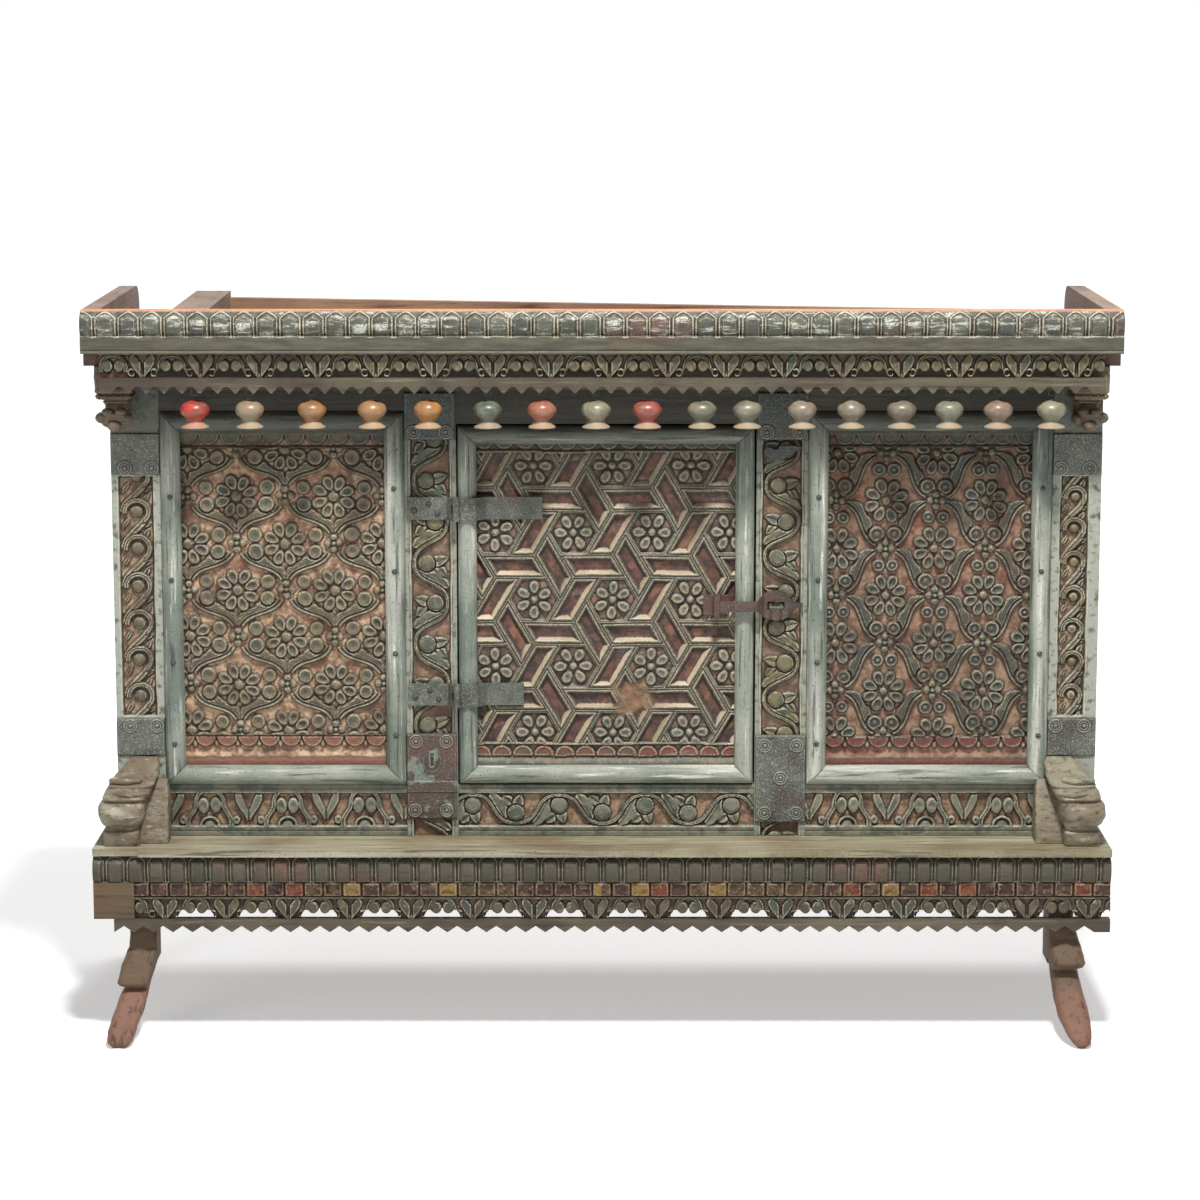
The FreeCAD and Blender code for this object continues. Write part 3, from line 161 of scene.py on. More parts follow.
def carved_board(name, x, z, face, back, field, step, foot=None, bow=None, inner=None):
    """A closed board whose front is carved by a field of heights, in millimetres above its face."""
    line_x = grid_line(x[0], x[1], step, inner and inner[:2])
    line_z = grid_line(z[0], z[1], step, inner and inner[2:])
    columns, rows = len(line_x), len(line_z)
    across, up = np.meshgrid(line_x, line_z)
    if foot is not None:
        low = foot(across)
        up = low + (up - z[0]) * (z[1] - low) / (z[1] - z[0])
    carving = field(across, up)
    height = carving.pop("height")
    proud = height if bow is None else height + bow(across, up)
    front = np.stack([across, face - proud, up], axis=-1).reshape(-1, 3)
    ends = []
    for row in (0, -1):
        ends.append(np.stack([across[row], np.full(columns, float(back)), up[row]], axis=-1))
    verts = np.concatenate([front] + ends)
    total = rows * columns
    step_along = np.arange(columns - 1)
    low_front, top_front = step_along, total - columns + step_along
    low_back, top_back = total + step_along, total + columns + step_along
    quads = np.concatenate([
        grid_quads(rows, columns),
        np.stack([low_front, low_back, low_back + 1, low_front + 1], axis=1),
        np.stack([top_front, top_front + 1, top_back + 1, top_back], axis=1),
        np.stack([low_back, top_back, top_back + 1, low_back + 1], axis=1),
    ])
    left = list(range(0, total, columns)) + [total + columns, total]
    right = list(range(columns - 1, total, columns))[::-1]
    right += [total + columns - 1, total + 2 * columns - 1]
    relief = height - soften(height, max(int(round(NEAR / step)), 1))
    wide_relief = height - soften(height, max(int(round(WIDE / step)), 2))
    # Crest and hollow carry painted highlight on ridges and painted shade in hollows; shade carries painted
    # shade in narrow gaps as well as dust
    values = {
        "lift": smooth(GROUND, RAISED, height),
        "crest": np.clip(relief / EDGE, 0, 1),
        "hollow": np.clip(-relief / EDGE, 0, 1),
        "shade": smooth(1.0, 3.8, -wide_relief),
        "tone": np.zeros_like(height),
    }
    values.update(carving)
    edge_rows = {}
    for label, array in values.items():
        edge_rows[label] = np.concatenate([array.ravel(), array[0], array[-1]])
    count = (rows - 1) * (columns - 1)
    return make_object(name, verts, quads, [left, right], edge_rows, flat_from=count)


def ring_quads(count, around, first=0):
    """Quads and the two end caps of a solid whose vertices are stored ring by ring."""
    index = first + np.arange(count * around).reshape(count, around)
    turned = np.roll(index, -1, axis=1)
    corners = (index[:-1], turned[:-1], turned[1:], index[1:])
    return np.stack([c.ravel() for c in corners], axis=1), [index[0][::-1], index[-1]]


def stacked(name, rings, values=None, smooth_all=True):
    """A closed solid from rings of points that lie one above the other."""
    rings = np.asarray(rings, float)
    quads, caps = ring_quads(*rings.shape[:2])
    flat_from = None if smooth_all else 0
    return make_object(name, rings.reshape(-1, 3), quads, caps, values, flat_from)


def join(name, pieces):
    """Makes one object of several."""
    with bpy.context.temp_override(
        active_object=pieces[0], selected_editable_objects=pieces, object=pieces[0]
    ):
        bpy.ops.object.join()
    pieces[0].name = name
    pieces[0].data.name = name
    return pieces[0]


def place(piece, body, material, slot, *nodes):
    """Gives a piece its body and finish, and hides the nodes that it stands for. Its slot is not used."""
    piece.data.materials.clear()
    piece.data.materials.append(material)
    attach(piece, body)
    if nodes:
        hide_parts(*nodes)
    return piece


def box_mm(node):
    """The lowest and highest corner of a node, in millimetres."""
    low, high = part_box(node)
    return np.array(low) / MM, np.array(high) / MM


def spans(node):
    """How far a node reaches along X and along Z, then its front and its back."""
    low, high = box_mm(node)
    return (low[0], high[0]), (low[2], high[2]), low[1], high[1]


# Materials


class Graph:
    """A tree of shader nodes under construction, with short names for its nodes."""

    def __init__(self, tree):
        self.tree = tree

    def link(self, source, target):
        """Links a socket to an input, or sets the input to a number, a vector or a colour."""
        if isinstance(source, (int, float)):
            target.default_value = source
        elif isinstance(source, tuple):
            target.default_value = source + (1.0,) if target.type == "RGBA" else source
        else:
            self.tree.links.new(source, target)

    def node(self, kind, inputs=None):
        """A new node, with its inputs linked or set."""
        made = self.tree.nodes.new(f"ShaderNode{kind}")
        for socket, source in (inputs or {}).items():
            self.link(source, made.inputs[socket])
        return made

    def maths(self, kind, first, second=0.0):
        node = self.node("Math", {0: first, 1: second})
        node.operation = kind
        return node.outputs["Value"]

    def times(self, *values):
        total = values[0]
        for value in values[1:]:
            total = self.maths("MULTIPLY", total, value)
        return total

    def seen(self):
        """1 where the camera looks straight, in a reflection or through glass, and 0 for other light."""
        rays = self.node("LightPath").outputs
        straight = self.maths("MAXIMUM", rays["Is Camera Ray"], rays["Is Glossy Ray"])
        return self.maths("MAXIMUM", straight, rays["Is Transmission Ray"])


class Finish(Graph):
    """A material under construction."""

    def __init__(self, name):
        self.material = bpy.data.materials.new(name)
        self.material.use_nodes = True
        super().__init__(self.material.node_tree)
        self.shader = self.tree.nodes["Principled BSDF"]
        self.where = self.node("TexCoord").outputs["Object"]

    def attribute(self, name):
        node = self.node("Attribute")
        node.attribute_name = name
        return node.outputs["Fac"]

    def attributes(self, names):
        return [self.attribute(name) for name in names.split()]

    def own_value(self, name):
        """A number from 0 to 1 for each whole number of an attribute, such as one for each petal."""
        node = self.node("TexWhiteNoise")
        node.noise_dimensions = "1D"
        self.link(self.attribute(name), node.inputs["W"])
        return node.outputs["Value"]

    def noise(self, scale, detail=4.0, stretch=None, rough=0.6):
        """Noise over the object, stretched where it is a grain."""
        where = self.where
        if stretch:
            where = self.node("Mapping", {"Scale": stretch, "Vector": where}).outputs["Vector"]
        settings = {"Scale": scale, "Detail": detail, "Roughness": rough, "Vector": where}
        return self.node("TexNoise", settings).outputs["Fac"]

    def cells(self, scale):
        return self.node("TexVoronoi", {"Scale": scale, "Vector": self.where}).outputs["Distance"]

    def ramp(self, value, low, high):
        """Turns a value into a smooth step from 0 at low to 1 at high."""
        start, end = (1.0, 0.0) if low > high else (0.0, 1.0)
        span = {"From Min": min(low, high), "From Max": max(low, high), "To Min": start, "To Max": end}
        node = self.node("MapRange", {"Value": value, **span})
        node.interpolation_type = "SMOOTHSTEP"
        return node.outputs["Result"]

    def level(self, low, high):
        """A smooth step over the height above the floor, in metres."""
        return self.ramp(self.node("SeparateXYZ", {"Vector": self.where}).outputs["Z"], low, high)

    def mix(self, amount, first, second):
        """Mixes two colours."""
        node = self.node("Mix")
        node.data_type = "RGBA"
        colours = [socket for socket in node.inputs if socket.type == "RGBA"]
        self.link(amount, node.inputs[0])
        self.link(first, colours[0])
        self.link(second, colours[1])
        return next(socket for socket in node.outputs if socket.type == "RGBA")

    def coats(self, base, *layers):
        """Lays colours over a base. A layer is a colour, then the shares whose product is its strength."""
        for colour, *shares in layers:
            base = self.mix(self.times(*shares), base, colour)
        return base

    def bump(self, height, distance):
        node = self.node("Bump", {"Distance": distance * MM, "Strength": 1.0, "Height": height})
        self.link(node.outputs["Normal"], self.shader.inputs["Normal"])

    def done(self, colour, roughness, metal=0.0, specular=0.5):
        self.link(colour, self.shader.inputs["Base Color"])
        self.link(roughness, self.shader.inputs["Roughness"])
        self.shader.inputs["Metallic"].default_value = metal
        self.shader.inputs["Specular IOR Level"].default_value = specular
        return self.material


def linear(red, green, blue):
    """A colour as the eye reads it from 0 to 255, turned into light."""
    out = []
    for value in (red, green, blue):
        value = value / 255
        out.append(value / 12.92 if value <= 0.04045 else ((value + 0.055) / 1.055) ** 2.4)
    return tuple(out)


TEAL_DARK = linear(52, 60, 56)
WORN_TEAL = linear(150, 154, 142)
OLIVE = linear(96, 88, 64)
GREY_BROWN = linear(96, 84, 68)
CREAM = linear(192, 164, 132)
# Pale of rubbed paint, also laid on crests as painted highlight
RUBBED_HIGHLIGHT = linear(206, 196, 168)
PALE = linear(186, 188, 176)
GROUND_LEFT = linear(122, 78, 58)
GROUND_RIGHT = linear(96, 48, 36)
BROWN = linear(92, 66, 48)
DARK = linear(28, 25, 22)
BARE = linear(182, 124, 84)
IRON = linear(90, 93, 84)
RUST = linear(88, 62, 54)


def carved_paint(name, ground, top, accent, dust_share=0.7, worn=0.4, cornice_shade=0.62):
    """Old paint on carving: a coloured ground with cream dust, grey and olive motifs, painted shade in gaps,
    on walls and in hollows, crests paled by rubbing and by painted highlight, and painted shade under the
    cornice.
    """
    f = Finish(name)
    lift, crest, shade, hollow, tone = f.attributes("lift crest shade hollow tone")
    patches = f.noise(7.0, 5.0)
    spots = f.noise(30.0, 4.0)
    fine = f.noise(80.0, 6.0)
    speck = f.noise(420.0, 4.0, rough=0.7)
    raised = f.coats(
        f.mix(f.ramp(patches, 0.4, 0.6), top, accent),
        (TEAL_DARK, f.ramp(spots, 0.5, 0.62), 0.7),
        (GREY_BROWN, f.ramp(spots, 0.46, 0.34), 0.6),
        (linear(132, 128, 104), f.ramp(fine, 0.52, 0.68), 0.5),
        (linear(142, 110, 78), f.ramp(tone, 0.3, 0.8), f.ramp(speck, 0.35, 0.6), 0.8),
        (WORN_TEAL, f.attribute("plain"), f.ramp(fine, 0.34, 0.5)),
        (ground, f.attribute("band"), 0.85),
    )
    low = f.coats(
        f.mix(f.ramp(patches, 0.35, 0.6), ground, BROWN),
        (CREAM, f.ramp(fine, 0.34, 0.6), f.ramp(spots, 0.36, 0.54), dust_share),
        (CREAM, f.ramp(shade, 0.05, 0.4), f.ramp(fine, 0.3, 0.5), dust_share),
        # Painted shade in the narrow gaps between motifs
        (DARK, f.ramp(shade, 0.5, 1.0), 0.7),
    )
    base = f.coats(
        f.mix(f.ramp(lift, 0.3, 0.8), low, raised),
        # Painted shade on the walls between ground and raised work, then in the hollows
        (DARK, f.ramp(lift, 0.15, 0.4), f.ramp(lift, 0.98, 0.7), 0.55),
        (DARK, f.ramp(hollow, 0.3, 0.9), 0.8),
        # Crests paled by rubbing and by painted highlight
        (RUBBED_HIGHLIGHT, f.ramp(crest, 0.4, 1.0), f.ramp(speck, 0.36, 0.56), f.ramp(spots, 0.36, 0.56), worn),
        # Painted shade of the cornice's shadow, darker towards the top
        (DARK, f.level(0.775, 0.86), cornice_shade),
    )
    f.bump(f.maths("ADD", f.times(speck, 0.6), fine), 0.6)
    return f.done(base, f.ramp(fine, -0.6, 1.3), specular=0.5)


def door_paint(name):
    """The door: strapwork with crests paled by rubbing and painted highlight, painted shade in the grooves,
    bevels with painted light where they face up and painted shade elsewhere, and brown tray floors.
    """
    f = Finish(name)
    lift, crest, hollow, tone = f.attributes("lift crest hollow tone")
    floor, bevel, band = f.attributes("floor bevel band")
    patches = f.noise(8.0, 5.0)
    spots = f.noise(30.0, 4.0)
    fine = f.noise(70.0, 6.0)
    speck = f.noise(420.0, 4.0, rough=0.7)
    streak = f.noise(60.0, 5.0, stretch=(0.2, 1.0, 1.0))
    raised = f.coats(
        f.mix(f.ramp(patches, 0.38, 0.62), linear(96, 88, 70), linear(78, 78, 66)),
        (linear(140, 130, 112), f.ramp(fine, 0.5, 0.66), 0.5),
    )
    low = f.mix(f.ramp(fine, 0.35, 0.65), linear(128, 100, 76), linear(64, 46, 36))
    # Painted light for the bevels that face up, and painted shade for the others
    lit_bevel = f.mix(f.ramp(patches, 0.4, 0.6), linear(184, 164, 140), linear(146, 128, 102))
    dim = f.mix(f.ramp(spots, 0.4, 0.6), linear(80, 64, 50), linear(50, 38, 32))
    slope = f.mix(f.ramp(f.maths("SUBTRACT", bevel, 1.0), 0.2, 0.8), dim, lit_bevel)
    deep = f.coats(
        f.mix(f.ramp(fine, 0.36, 0.62), linear(88, 50, 38), linear(42, 30, 26)),
        (linear(138, 96, 68), f.ramp(spots, 0.5, 0.66), 0.6),
    )
    base = f.coats(
        f.mix(f.ramp(lift, 0.2, 0.75), low, raised),
        (slope, f.ramp(bevel, 0.1, 0.6)),
        (deep, floor, 0.95),
        (f.mix(f.ramp(spots, 0.4, 0.6), linear(104, 54, 40), BROWN), band, f.ramp(lift, 0.3, 0.8)),
        # Painted shade in the grooves and hollows
        (DARK, f.ramp(hollow, 0.25, 0.8), 0.92),
        # Crests paled by rubbing and by painted highlight
        (RUBBED_HIGHLIGHT, f.ramp(crest, 0.15, 0.6), f.ramp(speck, 0.36, 0.58), 0.4),
        (PALE, f.ramp(streak, 0.58, 0.72), f.ramp(speck, 0.35, 0.6), 0.25),
        (f.mix(f.ramp(streak, 0.4, 0.6), linear(150, 112, 80), BROWN), tone, 0.8),
        # Painted shade of the cornice's shadow over the top of the door
        (DARK, f.level(0.785, 0.83), 0.55),
    )
    f.bump(f.maths("ADD", f.times(speck, 0.5), f.times(streak, 0.8)), 0.55)
    return f.done(base, f.ramp(fine, -0.6, 1.3), specular=0.5)


def petal_paint(name, bare_above, dim, bright, shine):
    """Dark petals with pale streaks of painted highlight where the paint is rubbed, painted shade in the gaps,
    and an olive fillet, bare wood above a level.
    """
    f = Finish(name)
    lift, crest, hollow = f.attributes("lift crest hollow")
    patches = f.noise(5.0, 4.0)
    spots = f.noise(40.0, 4.0)
    speck = f.noise(380.0, 4.0, rough=0.7)
    streak = f.noise(130.0, 6.0, stretch=(0.14, 1.0, 1.0), rough=0.7)
    # Spots where rubbed paint and painted highlight show
    worn_and_lit_spots = f.ramp(speck, 0.34, 0.56)
    fillet = f.mix(f.ramp(streak, 0.4, 0.6), linear(58, 54, 40), linear(84, 80, 60))
    bare = f.mix(f.ramp(streak, 0.4, 0.65), BARE, linear(140, 92, 64))
    raised = f.coats(
        f.mix(f.own_value("petal"), dim, bright),
        (linear(106, 66, 50), f.ramp(patches, 0.52, 0.62), 0.55),
        (linear(62, 54, 44), f.ramp(spots, 0.5, 0.64), 0.7),
    )
    base = f.coats(
        # Painted shade in the gaps between petals
        f.mix(f.ramp(lift, 0.1, 0.5), DARK, raised),
        # Painted highlight in pale streaks across the upper bellies of the petals
        (linear(206, 206, 192), f.ramp(streak, 0.5, 0.62), worn_and_lit_spots, f.level(0.966, 0.975), shine),
        (DARK, f.ramp(streak, 0.44, 0.36), 0.6),
        # Painted shade in the hollows
        (DARK, f.ramp(hollow, 0.25, 0.8), 0.9),
        # Crests paled by rubbing and by painted highlight
        (RUBBED_HIGHLIGHT, f.ramp(crest, 0.15, 0.6), worn_and_lit_spots, 0.25 + 0.5 * shine),
        (fillet, f.level(0.974, 0.968), f.level(0.5, 0.6), 0.75),
        (bare, f.level(bare_above * MM, (bare_above + 1.2) * MM)),
    )
    f.bump(f.maths("ADD", f.times(speck, 0.5), streak), 0.8)
    return f.done(base, f.ramp(speck, -0.4, 1.3), specular=0.5)


def block_paint(name):
    """Blocks in broken old paint, each in its own colour."""
    f = Finish(name)
    lift, crest = f.attributes("lift crest")
    own = f.own_value("petal")
    fine = f.noise(90.0, 5.0)
    speck = f.noise(380.0, 4.0, rough=0.7)
    raised = f.coats(
        f.mix(f.ramp(own, 0.3, 0.5), linear(58, 42, 38), linear(72, 60, 46)),
        (linear(104, 56, 42), f.ramp(own, 0.65, 0.8)),
        (linear(124, 100, 58), f.ramp(own, 0.84, 0.86)),
    )
    base = f.coats(
        # Painted shade where the blocks sink, in the gaps between them
        f.mix(f.ramp(lift, 0.1, 0.5), DARK, raised),
        (linear(128, 100, 78), f.ramp(fine, 0.5, 0.7), 0.5),
        (CREAM, f.ramp(crest, 0.2, 0.7), f.ramp(speck, 0.35, 0.6), 0.5),
    )
    f.bump(f.maths("ADD", fine, speck), 1.0)
    return f.done(base, f.ramp(speck, -0.8, 1.2), specular=0.3)


ACROSS = (0.05, 1.0, 1.0)
UPRIGHT = (1.0, 1.0, 0.05)


def painted_board(
    name, colour, second, worn=PALE, bare=BROWN, along=ACROSS, wear=0.5, grey=0.5, cornice_shade=0.0
):
    """Flat painted wood with grain that shows through, rubbed patches and bare scratches, and painted shade
    under the cornice as strong as asked for.
    """
    f = Finish(name)
    grain = f.noise(160.0, 6.0, stretch=along, rough=0.65)
    broad = f.noise(26.0, 4.0, stretch=along)
    patches = f.noise(7.0, 5.0)
    speck = f.noise(300.0, 5.0, rough=0.7)
    base = f.coats(
        f.mix(f.ramp(patches, 0.35, 0.65), colour, second),
        (worn, f.ramp(broad, 0.5, 0.72), grey),
        (worn, f.ramp(grain, 0.56, 0.7), wear),
        (DARK, f.ramp(grain, 0.46, 0.34), 0.7),
        (bare, f.ramp(patches, 0.6, 0.72), f.ramp(speck, 0.5, 0.6), 0.8),
        (DARK, f.ramp(speck, 0.44, 0.34), 0.55),
        # Painted shade of the cornice's shadow, darker towards the top
        (DARK, f.level(0.79, 0.85), cornice_shade),
    )
    f.bump(f.maths("ADD", grain, f.times(speck, 0.5)), 0.8)
    return f.done(base, f.ramp(speck, -0.5, 1.3), specular=0.4)


def bare_wood(name, colour, second, along=ACROSS, above=None):
    """Unpainted weathered wood with open grain, and old paint above the hoof where it is a leg."""
    f = Finish(name)
    grain = f.noise(150.0, 7.0, stretch=along, rough=0.7)
    broad = f.noise(22.0, 4.0, stretch=along)
    patches = f.noise(6.0, 4.0)
    base = f.mix(f.ramp(patches, 0.35, 0.65), colour, second)
    base = f.coats(base, (second, f.ramp(broad, 0.45, 0.7), 0.5))
    if above is not None:
        base = f.coats(base, (above, f.level(0.06, 0.08), 0.85))
    base = f.coats(base, (DARK, f.ramp(grain, 0.5, 0.32), 0.75))
    f.bump(grain, 0.8)
    return f.done(base, f.ramp(grain, -1.0, 1.5), specular=0.3)


def old_iron(name, colour, rust, rust_share=0.4, shine=0.62, patched=False):
    """Hammered sheet iron: dark pits, pale rubbed stipple and rust."""
    f = Finish(name)
    pits = f.cells(330.0)
    speck = f.noise(500.0, 4.0, rough=0.75)
    patches = f.noise(24.0, 6.0)
    base = f.coats(
        f.mix(f.ramp(patches, 0.35, 0.7), colour, TEAL_DARK),
        (PALE, f.ramp(speck, 0.52, 0.66), shine),
        (DARK, f.ramp(pits, 0.28, 0.05), 0.7),
        (rust, f.ramp(patches, 0.5, 0.66), rust_share * 2),
    )
    if patched:
        base = f.coats(base, (linear(124, 134, 122), f.ramp(f.noise(18.0, 5.0), 0.55, 0.58), 0.7))
    # Painted shade in the hollows and painted highlight on the crests of the beaten plates
    base = f.coats(
        base,
        (DARK, f.attribute("hollow"), 0.8),
        (PALE, f.attribute("crest"), f.ramp(speck, 0.3, 0.5), 0.6),
    )
    f.bump(f.maths("ADD", pits, speck), 0.5)
    return f.done(base, f.ramp(speck, -0.4, 1.2), metal=0.35)


def lacquer(name, colour, second, chips):
    """Turned and lacquered wood, rubbed to the pale wood in patches and at its foot."""
    f = Finish(name)
    foot = f.attribute("foot")
    patches = f.noise(60.0, 5.0)
    rings = f.noise(240.0, 3.0, stretch=(0.15, 0.15, 1.0))
    speck = f.noise(330.0, 4.0, rough=0.7)
    base = f.coats(
        f.mix(f.ramp(patches, 0.4, 0.62), colour, second),
        (chips, f.ramp(rings, 0.5, 0.7), 0.3),
        (chips, f.ramp(patches, 0.55, 0.7), f.ramp(speck, 0.45, 0.6), 0.8),
        (chips, foot, 0.75),
        (BROWN, f.ramp(speck, 0.62, 0.72), 0.5),
    )
    f.bump(f.maths("ADD", rings, speck), 0.12)
    return f.done(base, f.maths("ADD", 0.36, f.times(foot, 0.3)))


# The two carved panels: flowers and ties on a diamond lattice, joined by long curved leaves


def flower(u, v, radius, petals, turn, scoop, boss, seed, width=0.96):
    """Heights of one flower about its centre, and how far its boss reaches."""
    angle = np.arctan2(v, u) - turn
    distance = np.hypot(u, v)
    sector = 2 * math.pi / petals
    number = np.round(angle / sector)
    folded = angle - number * sector
    along = distance * np.cos(folded)
    beside = distance * np.sin(folded)
    own = 1 + 0.07 * (chance(number, seed, 3) - 0.5)
    middle = radius * 0.66 * own
    half_long = radius * 0.345
    half_wide = middle * math.sin(sector / 2) * (width + 0.014 * (along - middle))
    egg = np.hypot((along - middle) / half_long, beside / half_wide)
    rise = 6.8 * np.sqrt(smooth(1.06, 0.84, egg)) - scoop * smooth(0.78, 0.15, egg)
    # Petals tip up towards their outer ends
    rise = np.where(egg < 1.06, rise + 0.06 * (along - middle), 0)
    knob = dome(distance, boss, 7.6)
    return np.maximum(rise, knob), smooth(boss, boss * 0.7, distance)


def bud(u, v, radius, rise=6.2):
    """A round curled bud: a raised rim, a ring and a pit."""
    distance = np.hypot(u, v)
    height = rise * np.sqrt(smooth(radius, radius * 0.78, distance))
    height = height - 2.6 * smooth(radius * 0.72, radius * 0.5, distance)
    return height + 2.2 * smooth(radius * 0.42, radius * 0.1, distance)


def dish(u, v, radius, rise=6.2, scoop=2.6):
    """A round bud with a scooped face."""
    distance = np.hypot(u, v)
    height = rise * np.sqrt(smooth(radius, radius * 0.8, distance))
    return height - scoop * smooth(radius * 0.85, 0.0, distance)


def half_discs(x, z, pitch, level, radius, rise, hang):
    """A row of half discs with a rim line, which hang from a level or stand on it."""
    u = (x / pitch - np.floor(x / pitch) - 0.5) * pitch
    v = (level - z) if hang else (z - level)
    distance = np.hypot(u, v)
    height = rise * np.sqrt(smooth(radius, radius - 1.3, distance))
    height = height - 1.6 * smooth(radius - 2.2, radius - 3.4, distance)
    return np.where(v > -1, height, 0)


def diamond_field(x, z, tie, pitch, swing, side):
    """Carving of a panel: side is -1 where leaves leave a tie upright and 1 where they leave it flat."""
    x = x + 1.3 * drift(x, z, 60, side + 5)
    z = z + 1.3 * drift(x, z, 55, side + 9)
    p, q = (x - tie[0]) / pitch[0], (z - tie[1]) / pitch[1]
    s, n = (p + q) / 2, (p - q) / 2
    length = math.hypot(*pitch)
    height = np.zeros_like(x)
    for along, over, upper in ((s, n, -1), (n, s, 1)):
        t = along - np.floor(along)
        line = side * swing * np.sin(2 * np.pi * along)
        gap = (over - np.round(over) - line) * length * upper
        swell = np.sin(np.pi * np.clip((t - 0.07) / 0.86, 0, 1))
        # The blade lies above the stem's line, with a thin lip below it
        wide = np.where(gap > 0, 17.5 * swell ** 0.7 + 1.0, 2.6)
        there = smooth(0.06, 0.10, t) * smooth(0.94, 0.90, t)
        leaf = (4.4 + 1.8 * np.clip(gap / 12.0, 0, 1)) * np.sqrt(smooth(wide, wide - 1.6, np.abs(gap)))
        leaf = leaf + 1.8 * smooth(1.9, 0.6, np.abs(gap + 0.6)) - groove(gap - 2.6, 1.2, 4.0) * (gap < wide)
        for vein in (6.4, 10.0, 13.6):
            leaf = leaf - groove(gap - vein, 0.8, 1.6) * (gap < wide - 1.4) * (gap > 0)
        height = np.maximum(height, leaf * there)
    cell_s, cell_n = np.floor(s), np.floor(n)
    jog_u = 1.6 * (chance(cell_s, cell_n, 1) - 0.5)
    jog_v = 1.6 * (chance(cell_s, cell_n, 2) - 0.5)
    turn = math.pi / 8 + 0.16 * (chance(cell_s, cell_n, 4) - 0.5)
    gs, gn = s - cell_s - 0.5, n - cell_n - 0.5
    u, v = (gs + gn) * pitch[0] + jog_u, (gs - gn) * pitch[1] + jog_v
    bloom, knob = flower(u, v, 30.5, 8, turn, 3.6, 7.4 if side < 0 else 6.0, cell_s * 7 + cell_n)
    ts, tn = s - np.round(s), n - np.round(n)
    a, b = (ts + tn) * pitch[0], (ts - tn) * pitch[1]
    places = [(25, 12, 10.6), (25.5, -11.5, 10.6)] if side < 0 else [(12, 20, 11.2), (9.8, -23.5, 9.4)]
    form = dish if side < 0 else bud
    for bud_x, bud_z, radius in places:
        for mirror in (-1, 1):
            own = radius * (0.92 + 0.16 * chance(np.round(s), np.round(n), bud_z * mirror))
            du, dv = a - mirror * bud_x, b - bud_z
            distance = np.hypot(du, dv)
            height = np.where(distance < own + 1.6, 0, height)
            height = np.maximum(height, form(du, dv, own))
    near_flower = smooth(32.6, 31.4, np.hypot(u, v))
    height = np.where(near_flower > 0, height * (1 - near_flower) + bloom * near_flower, height)
    knot = np.zeros_like(x)
    for turn_to in range(4):
        lobe_x, lobe_z = 7.6 * math.cos(turn_to * math.pi / 2), 8.2 * math.sin(turn_to * math.pi / 2)
        knot = np.maximum(knot, dome(np.hypot(a - lobe_x, b - lobe_z), 5.6, 7.6))
    knot = np.maximum(knot - 0.8, dome(np.hypot(a, b), 3.4, 8.4))
    near_tie = smooth(15.5, 14.0, np.hypot(a, b * 0.95))
    height = np.where(near_tie > 0, height * (1 - near_tie) + knot * near_tie, height)
    return height, knob * near_flower


# For each panel: the middle of one tie, the way to the next flower, the levels of the two bands and
# the pitch of their half discs
PANELS = {
    -1: ((-436.0, 744.3), (67.0, 65.7), (410.0, 811.0), 29.6),
    1: ((459.0, 738.0), (68.0, 66.5), (408.0, 812.0), 31.0),
}


def panel_field(side):
    """The whole carving of a fixed panel, with its bands at the head and foot."""
    tie, pitch, (band_foot, band_head), pitch_band = PANELS[side]

    def field(x, z):
        height, knob = diamond_field(x, z, tie, pitch, 0.082, side)
        rail = shelf(z - band_head, 1.6, 5.5, 0.8)
        hanging = half_discs(x - 8, z, pitch_band, 829.5, 14.4, 6.5, True)
        hanging = np.where(z > 829.0, 6.5, hanging)
        height = np.where(z > band_head, np.maximum(hanging, rail), height)
        below = half_discs(x + 3, z, pitch_band, band_foot - 3, 14.2, 6.0, True)
        after = (x + 3) / pitch_band % 1 * pitch_band
        off_row = (z - band_foot + 14) * 0.8
        beads = dome(np.hypot(after, off_row), 3.4, 6.0)
        beads = np.maximum(beads, dome(np.hypot(pitch_band - after, off_row), 3.4, 6.0))
        foot_rail = shelf(z - band_foot, 1.5, 5.0, 0.8)
        slope = 5.0 * smooth(band_foot - 22, band_foot - 38, z)
        foot = np.maximum(np.maximum(below, beads) * (z > band_foot - 22), slope)
        height = np.where(z < band_foot, np.maximum(foot, foot_rail), height)
        height = height + 0.35 * drift(x, z, 3.2, 11) + 0.3 * drift(x, z, 9.0, 12)
        in_band = (z > band_head) | (z < band_foot)
        low_band = smooth(band_foot - 2, band_foot - 3, z)
        return {"height": height - 8.0, "tone": np.where(in_band, 0, 0.55 * knob), "band": low_band}

    return field


# The door: hexagons that hold flowers, between slanted trays


